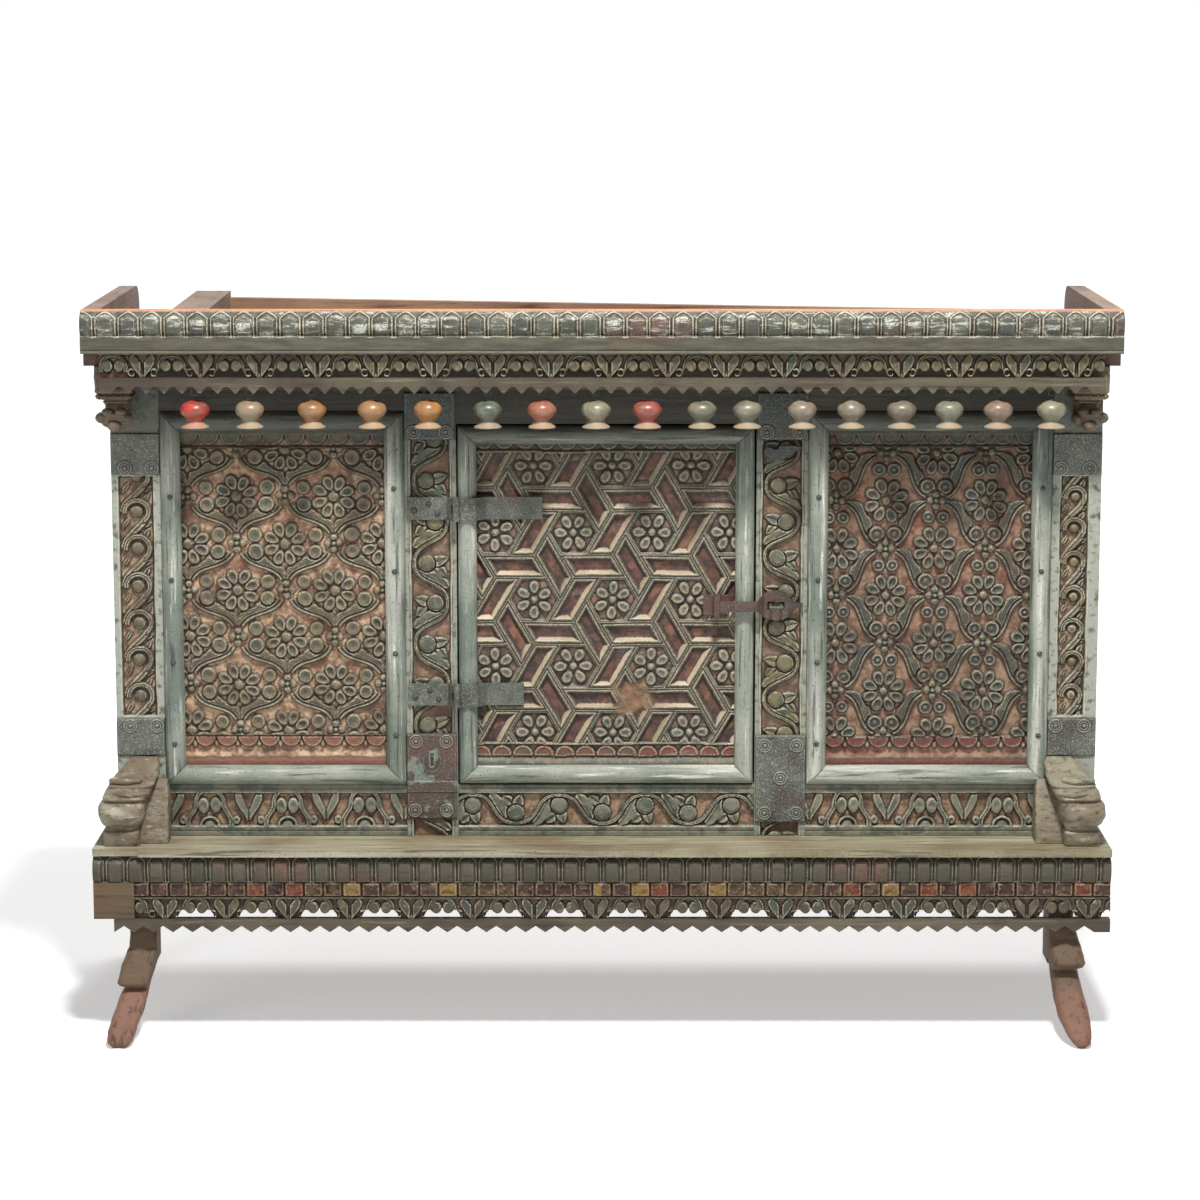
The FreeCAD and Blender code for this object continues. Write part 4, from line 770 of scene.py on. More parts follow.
def door_field(x, z):
    """Strapwork of slanted trays about six-petalled flowers, under a row of small arches."""
    x = x + 1.1 * drift(x, z, 70, 31)
    z = z + 1.1 * drift(x, z, 60, 32)
    pitch = 108.0
    root = math.sqrt(3) / 2
    row_pitch = pitch * root
    origin_x, origin_z = 14.5, 600.0
    row = np.round((z - origin_z) / row_pitch)
    best = np.full_like(x, 1e9)
    local_x, local_z = np.zeros_like(x), np.zeros_like(x)
    cell_a, cell_b = np.zeros_like(x), np.zeros_like(x)
    for step in (-1, 0, 1):
        this = row + step
        shift = 0.5 * pitch * (this - 2 * np.floor(this / 2))
        column = np.round((x - origin_x - shift) / pitch)
        dx, dz = x - origin_x - shift - column * pitch, z - origin_z - this * row_pitch
        near = np.hypot(dx, dz)
        closer = near < best
        best = np.where(closer, near, best)
        local_x, local_z = np.where(closer, dx, local_x), np.where(closer, dz, local_z)
        cell_a, cell_b = np.where(closer, this, cell_a), np.where(closer, column, cell_b)
    edge = np.full_like(x, 1e9)
    shade = np.zeros_like(x)
    for turn in range(6):
        toward = turn * math.pi / 3
        centre_x, centre_z = pitch / 2 * math.cos(toward), pitch / 2 * math.sin(toward)
        slant = toward + math.pi / 3
        dx, dz = local_x - centre_x, local_z - centre_z
        # Solve for the steps along the tray's two directions
        long_step = (dx * math.sin(toward) - dz * math.cos(toward)) / (
            math.cos(slant) * math.sin(toward) - math.sin(slant) * math.cos(toward)
        )
        short_step = (dx * math.sin(slant) - dz * math.cos(slant)) / (
            math.cos(toward) * math.sin(slant) - math.sin(toward) * math.cos(slant)
        )
        past_end, past_side = np.abs(long_step) - 33.5, np.abs(short_step) - 15.5
        reach = np.maximum(past_end, past_side) * root
        closer = reach < edge
        edge = np.where(closer, reach, edge)
        # How far the nearest bevel faces up, from the outward normal of its side of the tray, for the painted
        # light on it
        side_lit = np.sign(short_step) * (0.35 * math.sin(slant) + 0.94 * math.cos(slant))
        end_lit = -np.sign(long_step) * (0.35 * math.sin(toward) + 0.94 * math.cos(toward))
        shade = np.where(closer, np.where(past_side > past_end, side_lit, end_lit), shade)
    depth = np.clip((-2.0 - edge) / 5.6, 0, 1)
    tray = -0.8 - 6.6 * depth
    frame_line = -groove(edge - 0.6, 1.4, 3.4) - groove(edge - 3.9, 1.3, 3.4)
    hexagon = -0.6 + frame_line
    cell = -0.6 - 5.2 * smooth(4.6, 6.4, edge)
    number = cell_a * 3 + cell_b
    turn = np.where(chance(cell_a, cell_b, 7) > 0.4, 0.0, math.pi / 6)
    turn = turn + 0.12 * (chance(cell_a, cell_b, 8) - 0.5)
    bloom, knob = flower(local_x, local_z, 26.0, 6, turn, 1.7, 5.4, number, 0.74)
    inside = smooth(5.2, 6.0, edge)
    height = np.where(edge < 0, np.minimum(tray, hexagon), np.minimum(hexagon, cell))
    height = np.maximum(height, (bloom - 6.8) * inside - 9.0 * (1 - inside))
    arches = half_discs(x + 5, z, 28.5, 823.0, 14.0, 5.0, True) - 6.0
    height = np.where(z > 806, arches, height)
    height = np.where(np.abs(z - 806) < 1.4, -1.2, height)
    domes = half_discs(x + 9, z, 28.9, 381.0, 13.8, 5.2, False)
    domes = np.maximum(domes, 5.0 * smooth(380.5, 370.0, z)) - 6.0
    height = np.where(z < 397, domes, height)
    height = np.where(np.abs(z - 397) < 1.4, -1.2, height)
    # A rubbed and broken patch low on the right
    scar = smooth(1.0, 0.55, np.hypot((x - 46) / 42, (z - 462) / 30) + 0.25 * drift(x, z, 14, 35))
    height = height * (1 - 0.8 * scar) - (4.6 + 0.8 * drift(x, z, 6, 36)) * scar
    height = height + 0.3 * drift(x, z, 3.2, 33) + 0.35 * drift(x, z, 10, 34)
    carved = np.where((z > 806) | (z < 397), 0.0, 1.0) * (1 - scar)
    floor = smooth(-7.4, -8.2, edge) * carved
    # The bevels that face up and to the left get painted light and are pale: 2 there, 1 on the others
    bevel = smooth(-1.6, -2.4, edge) * carved * (1 - floor) * (1 + smooth(-0.1, 0.7, shade))
    band = np.where(z < 397, smooth(378, 382, z), 0.0)
    return {"height": height, "tone": 0.6 * scar, "floor": floor, "bevel": bevel, "band": band}


# Running scrolls for the stiles, posts and apron


def leaf_shape(u, v, half_long, half_wide, lean, rise):
    """A pointed leaf with a midrib, along u, turned by a lean in radians."""
    along = u * math.cos(lean) + v * math.sin(lean)
    beside = v * math.cos(lean) - u * math.sin(lean)
    width = half_wide * np.clip(1 - np.abs(along / half_long) ** 2.0, 0, 1)
    height = (rise - 1.4 * smooth(0.7, 0.2, np.abs(beside) / np.maximum(width, 0.5))) * np.sqrt(
        smooth(0.0, 1.6, width - np.abs(beside)))
    return np.where(width > 0.3, height - groove(beside, 0.8, 2.2) * (width > 2), 0)


def vine(along, over, pitch, half, start, bud_radius=11.4, rise=6.4):
    """A waving stem with a curled bud in each bend, its comma-shaped lobe, and leaves between."""
    t = (along - start) / pitch
    bend = np.cos(np.pi * t)
    wave = half * 0.86 * bend / np.sqrt(bend ** 2 + 0.42 * (1 - bend ** 2))
    axis = 1 if np.ptp(along[:, 0]) < 1e-6 or np.ptp(along[0]) > np.ptp(along[:, 0]) else 0
    slope = np.abs(np.gradient(wave, axis=axis) / np.maximum(np.abs(np.gradient(along, axis=axis)), 1e-6))
    gap = (over - wave) / np.sqrt(1 + slope ** 2)
    stem = shelf(gap, 2.5, rise, 0.9) - groove(gap - 0.3, 0.7, 3.0)
    height = np.zeros_like(along)
    nearest = np.round(t)
    for step in (-1, 0, 1):
        number = nearest + step
        side = 1 - 2 * (number - 2 * np.floor(number / 2))
        a = along - start - number * pitch
        o = over * side
        for across, up, long, wide, lean in (
            (-0.14, -0.40, 0.98, 0.20, 0.5),
            (-0.50, -0.16, 0.52, 0.12, 0.9),
            (0.60, 0.50, 0.46, 0.15, -0.6),
        ):
            leaf = leaf_shape(o - across * half, a - up * pitch, long * half, wide * pitch, lean, rise - 0.5)
            height = np.maximum(height, leaf)
        size = bud_radius * (0.96 + 0.12 * chance(number, 3))
        lobe = leaf_shape(o + half * 0.34, a - 3.0, half * 0.62, 8.2, -0.3, rise - 0.4)
        distance = np.hypot(a, o - half * 0.22)
        curl = rise * np.sqrt(smooth(size, size * 0.84, distance)) - groove(distance - size * 0.78, 0.8, 2.2)
        near = np.minimum(distance - size, np.hypot((o + half * 0.34) / 1.9, a - 3.0) - 7.4)
        height = np.where(near < 1.5, np.maximum(lobe, 0), height)
        height = np.where(distance < size + 1.2, np.maximum(curl, 0), height)
    clear = smooth(3.9, 3.1, np.abs(gap))
    return height * (1 - clear) + np.maximum(stem, 0.4) * clear


def wave_scroll(along, over, pitch, half, start, boss, rise=6.4):
    """Bosses in a row, each in a ring that a stem sweeps from up to the next one, with leaves between."""
    number = np.floor((along - start) / pitch)
    height = np.zeros_like(along)
    reach = half * 0.74
    for step in (-1, 0, 1):
        a = along - start - (number + step) * pitch
        for across, up, lean, long, wide in (
            (0.52, 0.34, 1.05, 0.5, 4.4),
            (-0.62, 0.66, 1.0, 0.42, 3.6),
            (0.66, 0.62, 0.5, 0.3, 3.2),
        ):
            o, v = over - across * half, a - up * pitch
            leaf = leaf_shape(o, v, long * half * 1.1, wide, lean, rise - 1.0)
            height = np.maximum(height, leaf)
    for step in (-1, 0, 1):
        a = along - start - (number + step) * pitch
        part = np.clip(a / pitch, 0, 1)
        line = -reach * np.cos(np.pi * part)
        slope = reach * np.pi / pitch * np.sin(np.pi * part)
        gap = (over - line) / np.sqrt(1 + slope ** 2)
        stem = shelf(gap, 4.8, rise, 1.4) - groove(gap + 0.6, 0.8, 2.6)
        inside = smooth(-2.0, 0.0, a) * smooth(pitch + 2.0, pitch, a)
        clear = smooth(6.0, 5.0, np.abs(gap)) * inside
        height = height * (1 - clear) + np.maximum(stem, 0.0) * clear
    for step in (0, 1):
        a = along - start - (number + step) * pitch
        distance = np.hypot(a, over - 1.0)
        ring = shelf(distance - reach * 0.96, 3.6, rise, 1.2) - groove(distance - reach * 0.96, 0.7, 2.4)
        # The ring is open below on the left, where the next stem comes up
        shut = 1 - smooth(-2.0, -5.0, a) * smooth(11.0, 8.0, over)
        near_ring = smooth(reach + 3.6, reach + 2.8, distance) * shut
        near = np.maximum(near_ring, smooth(boss + 2.4, boss + 1.6, distance))
        wrapped = np.maximum(ring * shut, dome(distance, boss, rise + 0.6))
        height = height * (1 - near) + wrapped * near
    return height


def stile_field(side):
    """A door stile: a vine between plain margins."""

    def field(x, z):
        middle = -235.5 if side < 0 else 247.5
        half = 26.5
        u = x - middle + 1.1 * drift(x, z, 40, 41 + side)
        v = z + 2.0 * drift(x, z, 50, 42 + side)
        pitch = 57.0 if side < 0 else 50.0
        height = vine(v, u * side, pitch, half, 310.0) - 6.8
        margin = smooth(half - 0.6, half + 0.6, np.abs(u))
        height = height * (1 - margin) - 0.3 * margin
        line = groove(np.abs(u) - half - 3.2, 0.8, 1.6)
        height = height - line + 0.35 * drift(x, z, 3.4, 43)
        return {"height": height, "plain": 0.7 * margin}

    return field


def post_field(side):
    """A corner post: a running scroll between plain margins, foot and head."""

    def field(x, z):
        middle = -640.5 if side < 0 else 649.0
        half = 23.0 if side < 0 else 18.5
        pitch = 51.5 if side < 0 else 46.5
        u = x - middle + 0.9 * drift(x, z, 40, 51 + side)
        v = z + 1.6 * drift(x, z, 50, 52 + side)
        scroll = wave_scroll(v, u, pitch, half, 466.0, 9.2 if side < 0 else 6.6) - 6.8
        inside = smooth(half + 0.6, half - 0.4, np.abs(u)) * smooth(437, 440, z) * smooth(774, 771, z)
        height = scroll * inside - 0.3 * (1 - inside)
        height = height + 0.35 * drift(x, z, 3.4, 53)
        return {"height": height, "plain": 1 - inside}

    return field


def apron_field(kind, middle):
    """An apron board: a lying vine in the middle one, and arches in the two others."""

    def field(x, z):
        u = x - middle + 0.9 * drift(x, z, 50, 61)
        v = z + 0.8 * drift(x, z, 40, 62)
        if kind == "middle":
            height = vine(u, v - 304.5, 60.0, 23.5, -186.0, 12.0)
        else:
            height = arch_field(u, v - 281.0)
        inside = smooth(281.0, 282.0, z) * smooth(328.0, 327.0, z)
        height = (height - 6.6) * inside - 0.4 * (1 - inside)
        height = height - groove(z - 274.0, 0.9, 1.2) - groove(z - 334.0, 0.9, 1.2)
        return {"height": height + 0.35 * drift(x, z, 3.4, 63)}

    return field


def arch_field(u, v):
    """Paired eggs under swept stems, over half domes, with open tulips between."""
    pitch = 108.0
    w = u - np.round(u / pitch) * pitch
    side = np.abs(w)
    between = np.abs(side - pitch / 2)
    off_stem = (side - 19.0 - 11.0 * smooth(30, 6, v)) * 0.86
    height = np.maximum(0, shelf(off_stem, 3.6, 6.2, 1.2) - groove(off_stem, 0.8, 2.4))
    top = np.hypot(side, v - 33)
    height = np.where(v > 33, shelf(top - 19, 3.2, 6.2, 1.2) - groove(top - 19, 0.8, 2.2), height)
    for across, up, wide, tall in ((8.4, 29.0, 8.0, 12.0), (37.0, 8.5, 5.4, 6.4)):
        egg = np.hypot((side - across) / wide, (v - up) / tall)
        height = np.maximum(height, 6.6 * np.sqrt(smooth(1.02, 0.8, egg)) - 1.4 * smooth(0.5, 0.1, egg))
    foot = np.hypot(w, v)
    height = np.maximum(height, shelf(foot - 12.5, 2.0, 5.6, 0.9))
    height = np.maximum(height, dome(foot, 8.6, 5.0))
    flare = 4.0 + 15.5 * smooth(8, 40, v) ** 0.8
    lobe = smooth(flare, flare - 1.8, between) * smooth(46.5, 44.5, v) * smooth(6, 9, v)
    slot = smooth(1.0, -0.8, between - 0.6 - np.maximum(v - 22, 0) * 0.4)
    tulip = 6.6 * np.sqrt(lobe) - 1.5 * smooth(flare - 2.4, flare - 5.0, between) * (lobe > 0)
    return np.maximum(height, tulip - 5.0 * slot * (lobe > 0))


# Friezes under the cornice and under the base


def frieze_shape(pitch, first_void, z_foot, z_top, void_half, void_rise):
    """The carving of a pierced frieze and the line of its lower edge."""

    def from_void(x):
        return x - (first_void + np.round((x - first_void) / pitch) * pitch)

    def foot(x):
        w = np.abs(from_void(x) + 0.8 * drift(x, x * 0, 26, 71))
        scale = void_rise / 15.0
        arch = 13.5 * scale * smooth(void_half, void_half - 9.0, w) ** 0.7
        hanging = 15.5 * scale - np.sqrt(np.clip(52.0 - (w - 8.0) ** 2, 0, None)) * scale
        low = np.where(w < 15.0, np.clip(hanging, 0, None), arch)
        return z_foot + np.where((w < void_half) & (x > first_void - pitch / 2), low, 0)

    def field(x, z):
        v = z - z_foot
        tall = z_top - z_foot
        side = np.abs(from_void(x))
        off_ring = np.hypot(side, (v - 13.0) * 0.95) - 16.8
        arch = shelf(off_ring, 3.0, 6.0, 1.1) - groove(off_ring, 0.8, 2.4)
        height = np.maximum(0, arch * (v > 7))
        tail = np.hypot(side - 24.5, v - 6.5)
        height = np.maximum(height, shelf(tail - 4.6, 1.8, 5.6, 1.0) * (side < 28))
        for_bud = np.hypot((side - 8.0) / 7.6, (v - 15.5) / 9.4)
        round_bud = 6.6 * np.sqrt(smooth(1.02, 0.72, for_bud)) - 0.8 * smooth(0.7, 0.2, for_bud)
        height = np.maximum(height, round_bud)
        t = pitch / 2 - side
        widest = 3.0 + 15.0 * smooth(-3.0, tall * 0.75, v) ** 0.75 - 3.0 * smooth(tall * 0.8, tall, v)
        lobe = smooth(widest, widest - 1.8, t)
        split = t - np.clip(v - tall * 0.52, 0, None) * 0.78
        slot = np.maximum(smooth(2.4, 1.4, t) * (v > 4), smooth(0.6, -0.6, split))
        body = 7.2 * np.sqrt(lobe) - 1.6 * smooth(widest - 2.6, widest - 5.0, t)
        body = np.where(slot > 0.02, body - 6.0 * slot, body)
        body = body + 1.4 * smooth(1.4, 0.2, np.abs(t - 3.6)) * (lobe > 0.5)
        height = np.where(lobe > 0.05, np.maximum(body, 0.2), height)
        height = np.maximum(height, shelf(v - tall, 2.6, 6.0))
        height = height + 0.35 * drift(x, z, 3.0, 72)
        return {"height": height - 7.2, "tone": 0.35 * smooth(tall * 0.7, tall, v) * (lobe < 0.5)}

    return foot, field


def petal_field(pitch, first, foot, top, arch, sharp, gap=2.6):
    """A row of swelling petals with raised rims and pointed or round heads."""

    def field(x, z):
        number = np.round((x - first) / pitch)
        u = x - first - number * pitch + 0.9 * (chance(number, 5) - 0.5)
        half = pitch / 2 - gap / 2
        v = z + 1.0 * (chance(number, 6) - 0.5)
        head = top - arch * (np.abs(u) / half) ** sharp
        inside = np.minimum(half - np.abs(u), (head - v) * 0.75)
        rim = 3.4 * np.sqrt(smooth(-0.2, 0.7, inside)) - groove(inside - 2.3, 0.8, 2.0)
        belly = 3.2 * smooth(2.6, 6.5, inside) * np.sqrt(np.clip(1 - (u / half) ** 2, 0, 1))
        height = np.where(inside > -0.2, rim + belly, 0.0)
        height = height + 0.28 * drift(x, z * 0.3, 3.0, 81) + 0.25 * drift(x, z, 8.0, 82)
        on_petals = smooth(foot - 0.6, foot + 0.6, z)
        height = (height - 5.0) * on_petals
        return {"height": height, "petal": number * on_petals}

    return field


# Finishes

SILVER = linear(222, 219, 206)
# Carved boards get painted shade under the cornice unless it is set to 0, and worn pales their crests by
# rubbing and painted highlight
paint_left = carved_paint("paint_left", GROUND_LEFT, OLIVE, GREY_BROWN, dust_share=0.9, worn=0.5)
paint_right = carved_paint(
    "paint_right", GROUND_RIGHT, linear(74, 66, 50), linear(58, 58, 50), dust_share=0.4
)
paint_stile = carved_paint(
    "paint_stile", linear(72, 48, 34), linear(104, 96, 66), linear(90, 92, 74), dust_share=0.3, worn=0.6
)
paint_apron = carved_paint(
    "paint_apron", linear(84, 56, 42), linear(116, 114, 96), linear(94, 98, 86), dust_share=0.5, worn=0.6
)
paint_post = carved_paint(
    "paint_post", linear(80, 50, 36), linear(104, 94, 66), linear(92, 82, 64), dust_share=0.6, worn=0.6
)
paint_frieze = carved_paint(
    "paint_frieze", linear(46, 34, 26), linear(86, 76, 50), linear(72, 66, 48),
    dust_share=0.15, worn=0.45, cornice_shade=0.0,
)
paint_frieze_low = carved_paint(
    "paint_frieze_low", linear(38, 28, 22), linear(66, 58, 38), linear(56, 50, 36), dust_share=0.1, worn=0.5
)
paint_corbel = painted_board(
    "paint_corbel", linear(116, 102, 82), linear(84, 72, 58), worn=linear(168, 150, 124)
)
paint_dark = painted_board(
    "paint_dark", linear(64, 60, 48), linear(46, 42, 36), worn=linear(108, 104, 88), wear=0.3, grey=0.3
)
paint_strip = painted_board(
    "paint_strip", linear(84, 78, 60), linear(60, 50, 40), worn=linear(150, 138, 116), wear=0.4, grey=0.3
)
paint_ledge = painted_board(
    "paint_ledge", linear(146, 140, 114), linear(118, 104, 80),
    worn=linear(194, 190, 172), bare=linear(112, 70, 54), wear=0.6,
)
paint_end = painted_board(
    "paint_end", linear(88, 76, 54), linear(96, 54, 42), worn=linear(134, 116, 90), wear=0.4, grey=0.3
)
# The mouldings get painted shade under the cornice, darker towards the top
moulding_across = painted_board(
    "moulding_across", WORN_TEAL, linear(112, 120, 108),
    worn=SILVER, bare=linear(128, 72, 56), wear=0.9, grey=0.8, cornice_shade=0.75,
)
moulding_upright = painted_board(
    "moulding_upright", WORN_TEAL, linear(104, 114, 104),
    worn=SILVER, along=UPRIGHT, wear=0.9, grey=0.75, cornice_shade=0.6,
)
paint_head = painted_board(
    "paint_head", linear(136, 130, 108), linear(108, 94, 76),
    worn=linear(196, 192, 172), along=(0.4, 0.4, 1.0), wear=0.6,
)
wood_across = bare_wood("wood_across", linear(116, 88, 68), linear(140, 112, 88))
wood_upright = bare_wood("wood_upright", linear(112, 92, 72), linear(132, 110, 88), along=UPRIGHT)
wood_deep = bare_wood("wood_deep", linear(96, 76, 66), linear(124, 104, 90), along=(1.0, 0.05, 1.0))
wood_leg = bare_wood(
    "wood_leg", linear(112, 82, 66), linear(128, 94, 78), along=(1.0, 1.0, 0.08), above=linear(92, 76, 58)
)
iron = old_iron("old_iron", IRON, RUST, rust_share=0.2)
iron_rust = old_iron("iron_rust", RUST, linear(60, 44, 40), rust_share=0.4, shine=0.25)
iron_lock = old_iron("iron_lock", RUST, linear(60, 44, 40), rust_share=0.3, shine=0.2, patched=True)
iron_dark = old_iron("iron_dark", linear(60, 64, 60), RUST, rust_share=0.3, shine=0.3)

# Carved boards


def carved_node(name, node, field, step, material, body=CARCASE, x=None, **more):
    """A carved board that stands for a node, in the node's box or in a part of its width."""
    wide, tall, face, back = spans(node)
    piece = carved_board(name, x or wide, tall, face, back, field, step, **more)
    return place(piece, body, material, "painted_wood", node)


def inside_of(node, margin):
    """The span of a panel within its mouldings."""
    low, high = box_mm(node)
    return low[0] + margin, high[0] - margin, low[2] + margin, high[2] - margin


SIDES = {-1: "left", 1: "right"}
for side, finish in ((-1, paint_left), (1, paint_right)):
    node = f"panel_{SIDES[side]}"
    carved_node(f"carved_{node}", node, panel_field(side), 1.2, finish, inner=inside_of(node, 26))
paint_door = door_paint("paint_door")
carved_node(
    "carved_door", "door_panel", door_field, 1.35, paint_door, DOOR, inner=inside_of("door_panel", 24)
)

LEFT_STILE, RIGHT_STILE = (-271.0, -200.0), (212.0, 283.0)
LEFT_POST, RIGHT_POST = (-673.0, -606.0), (618.0, 685.0)
for node, boards, field_maker, step, finish in (
    ("stiles", (LEFT_STILE, RIGHT_STILE), stile_field, 1.2, paint_stile),
    ("corner_posts", (LEFT_POST, RIGHT_POST), post_field, 1.25, paint_post),
):
    for side, x in zip(SIDES, boards):
        carved_node(f"{node}_{SIDES[side]}", node, field_maker(side), step, finish, x=x)
for kind, x in (
    ("left", (LEFT_POST[1], LEFT_STILE[0])),
    ("middle", (LEFT_STILE[1], RIGHT_STILE[0])),
    ("right", (RIGHT_STILE[1], RIGHT_POST[0])),
):
    carved_node(f"apron_{kind}", "apron_boards", apron_field(kind, sum(x) / 2), 1.2, paint_apron, x=x)

# Rails with petals


def cornice_bow(x, z):
    """How far the cornice's face lies back over its height: a swelling above and a band below."""
    head = np.where(z > 986, -7 * ((z - 986) / 21) ** 2, -6 * ((986 - z) / 14) ** 2)
    return np.where(z > 972, head, -1 - 1.4 * smooth(1.8, 0.4, np.abs(z - 953)))


def base_bow(x, z):
    """How far the face of the base's petals lies back."""
    return np.where(z > 236, -2 - 8 * ((z - 236) / 21) ** 2, -2 - 6 * ((236 - z) / 17) ** 2)


def block_field(x, z):
    """A broken row of square blocks."""
    pitch = 26.5
    number = np.round(x / pitch)
    u = x - number * pitch
    edge = np.minimum(pitch / 2 - 1.4 - np.abs(u), np.minimum(z - 199.0, 218.0 - z) * 1.2)
    rough = 1.6 * drift(x, z, 7.0, 91) + 0.9 * drift(x, z, 3.0, 92) + 3.0 * chance(number, 3)
    height = 5.0 * np.sqrt(smooth(-0.4, 1.4, edge)) - rough * smooth(0.0, 3.0, edge)
    return {"height": height - 6.0, "petal": number}


paint_cornice = petal_paint("paint_cornice", 1004.5, linear(56, 58, 48), linear(82, 84, 70), 0.85)
cornice_petals = petal_field(31.0, -666.5, 972.0, 1006.0, 9.0, 1.5)
carved_node("cornice_petals", "cornice_rail", cornice_petals, 0.95, paint_cornice, bow=cornice_bow)

# The front rail's petals stand over its row of blocks
BLOCKS_FOOT, PETALS_FOOT, PETALS_TOP = 198.0, 219.0, 257.0
wide, tall, face, back = spans("front_rail")
paint_base = petal_paint("paint_base", 2000, linear(54, 50, 38), linear(76, 70, 54), 0.1)
base_petals = petal_field(28.5, -669.75, 220.0, 256.5, 8.0, 2.6)
petals = carved_board(
    "base_petals", wide, (PETALS_FOOT, PETALS_TOP), face - 2, back, base_petals, 0.95, bow=base_bow
)
place(petals, CARCASE, paint_base, "painted_wood", "front_rail")
blocks = carved_board(
    "base_blocks", (-644.0, 700.0), (BLOCKS_FOOT, PETALS_FOOT), -189.0, back, block_field, 1.1
)
place(blocks, CARCASE, block_paint("paint_blocks"), "painted_wood", "front_rail")

# Pierced friezes

for node, pitch, first, void_half, void_rise, finish in (
    ("upper_frieze", 78.5, -578.7, 23.0, 15.0, paint_frieze),
    ("lower_frieze", 84.8, -559.5, 27.0, 14.0, paint_frieze_low),
):
    foot, field = frieze_shape(pitch, first, *spans(node)[1], void_half, void_rise)
    carved_node(f"{node}_carving", node, field, 0.95, finish, foot=foot)

# Half-round mouldings


def half_round_frame(name, node, radius, body, seed):
    """Four half-round bars with mitred ends, dented and worn."""
    x, z, _, seat = spans(node)
    bars = []
    sides = (
        ("foot", (x[0], z[0]), (1, 0), (0, 1), x[1] - x[0]),
        ("right", (x[1], z[0]), (0, 1), (-1, 0), z[1] - z[0]),
        ("head", (x[1], z[1]), (-1, 0), (0, -1), x[1] - x[0]),
        ("left", (x[0], z[1]), (0, -1), (1, 0), z[1] - z[0]),
    )
    angles = np.linspace(0, math.pi, 15)
    for number, (part, start, run, inward, length) in enumerate(sides):
        steps = max(int(length / 4), 2)
        share = np.linspace(0, 1, steps + 1)[:, None]
        across = radius * (1 - np.cos(angles))[None, :]
        along = across + share * (length - 2 * across)
        dents = 0.35 * drift(along, across, 9.0, seed + number)
        dents = dents + 0.45 * drift(along, across, 40.0, seed + number + 5)
        proud = np.sin(angles)[None, :] * (radius - 0.5 + dents)
        px = start[0] + run[0] * along + inward[0] * across
        pz = start[1] + run[1] * along + inward[1] * across
        rings = np.stack([px, seat - proud, pz], axis=-1)
        bars.append(stacked(f"{name}_{part}", rings))
    across = join(f"{name}_across", bars[::2])
    upright = join(f"{name}_upright", bars[1::2])
    place(across, body, moulding_across, "painted_wood", node)
    place(upright, body, moulding_upright, "painted_wood", node)


for side_name in SIDES.values():
    half_round_frame(f"half_round_{side_name}", f"panel_mouldings_{side_name}", 14.0, CARCASE, 101)
half_round_frame("half_round_door", "door_mouldings", 13.0, DOOR, 131)

# Ironwork


def studs(name, places, material, around=10):
    """Round nail heads. A place is x, y of the seat and z, and may hold a scale."""
    verts, quads, caps = [], [], []
    for number, (x, y, z, *more) in enumerate(places):
        scale = more[0] if more else 1.0
        angles = 6.28 * chance(number, 1) + np.linspace(0, 2 * math.pi, around, endpoint=False)
        uneven = 1 + 0.06 * np.sin(angles * 3 + number)
        for radius, rise in NAIL:
            ring_x = x + radius * scale * uneven * np.cos(angles)
            ring_z = z + radius * scale * uneven * np.sin(angles)
            verts.append(np.stack([ring_x, np.full(around, y - rise * scale), ring_z], axis=-1))
        faces, ends = ring_quads(len(NAIL), around, number * len(NAIL) * around)
        quads.append(faces)
        caps += ends
    piece = make_object(name, np.concatenate(verts), np.concatenate(quads), caps)
    return place(piece, CARCASE, material, "old_iron")


# Radius and rise of a nail head, from the seat up
NAIL = [(3.6, -1.0), (3.8, 0.2), (3.3, 1.4), (2.0, 2.3), (0.7, 2.7)]
FACADE_Y = -112.0
PLATE_Y = FACADE_Y - 3.0


def ring_boss(x, z, centre, outer=8.6):
    """Two rings about a low dome, beaten into a plate."""
    distance = np.hypot(x - centre[0], z - centre[1])
    height = 1.5 * smooth(1.5, 0.4, np.abs(distance - outer))
    height = height + 1.3 * smooth(1.4, 0.4, np.abs(distance - outer * 0.62))
    return height + dome(distance, outer * 0.36, 2.0)


def plate(name, x, z, bosses, material, seed, relief=None, node="strap_plates"):
    """A hammered iron plate with ring bosses and soft edges."""

    def field(px, pz):
        edge = np.minimum(np.minimum(px - x[0], x[1] - px), np.minimum(pz - z[0], z[1] - pz))
        height = -1.0 * smooth(2.0, 0.0, edge)
        height = height + 0.25 * drift(px, pz, 2.2, seed) + 0.4 * drift(px, pz, 14, seed + 1)
        for boss in bosses:
            height = height + ring_boss(px, pz, boss)
        return {"height": height if relief is None else height + relief(px, pz)}

    piece = carved_board(name, x, z, PLATE_Y, FACADE_Y, field, 0.9)
    return place(piece, CARCASE, material, "old_iron", node)


def lock_relief(x, z):
    """The keyhole, the crescent round it and a bar."""
    hole = np.minimum(smooth(2.8, 2.0, np.abs(x + 236)), smooth(366, 367, z) * smooth(386, 385, z))
    ring = np.hypot(x + 236, (z - 374) * 0.8)
    crescent = smooth(4.4, 3.2, np.abs(ring - 15)) * smooth(382, 374, z)
    bar = smooth(329, 331, z) * smooth(347, 345, z)
    return -3.0 * hole + 0.8 * crescent + 1.2 * bar


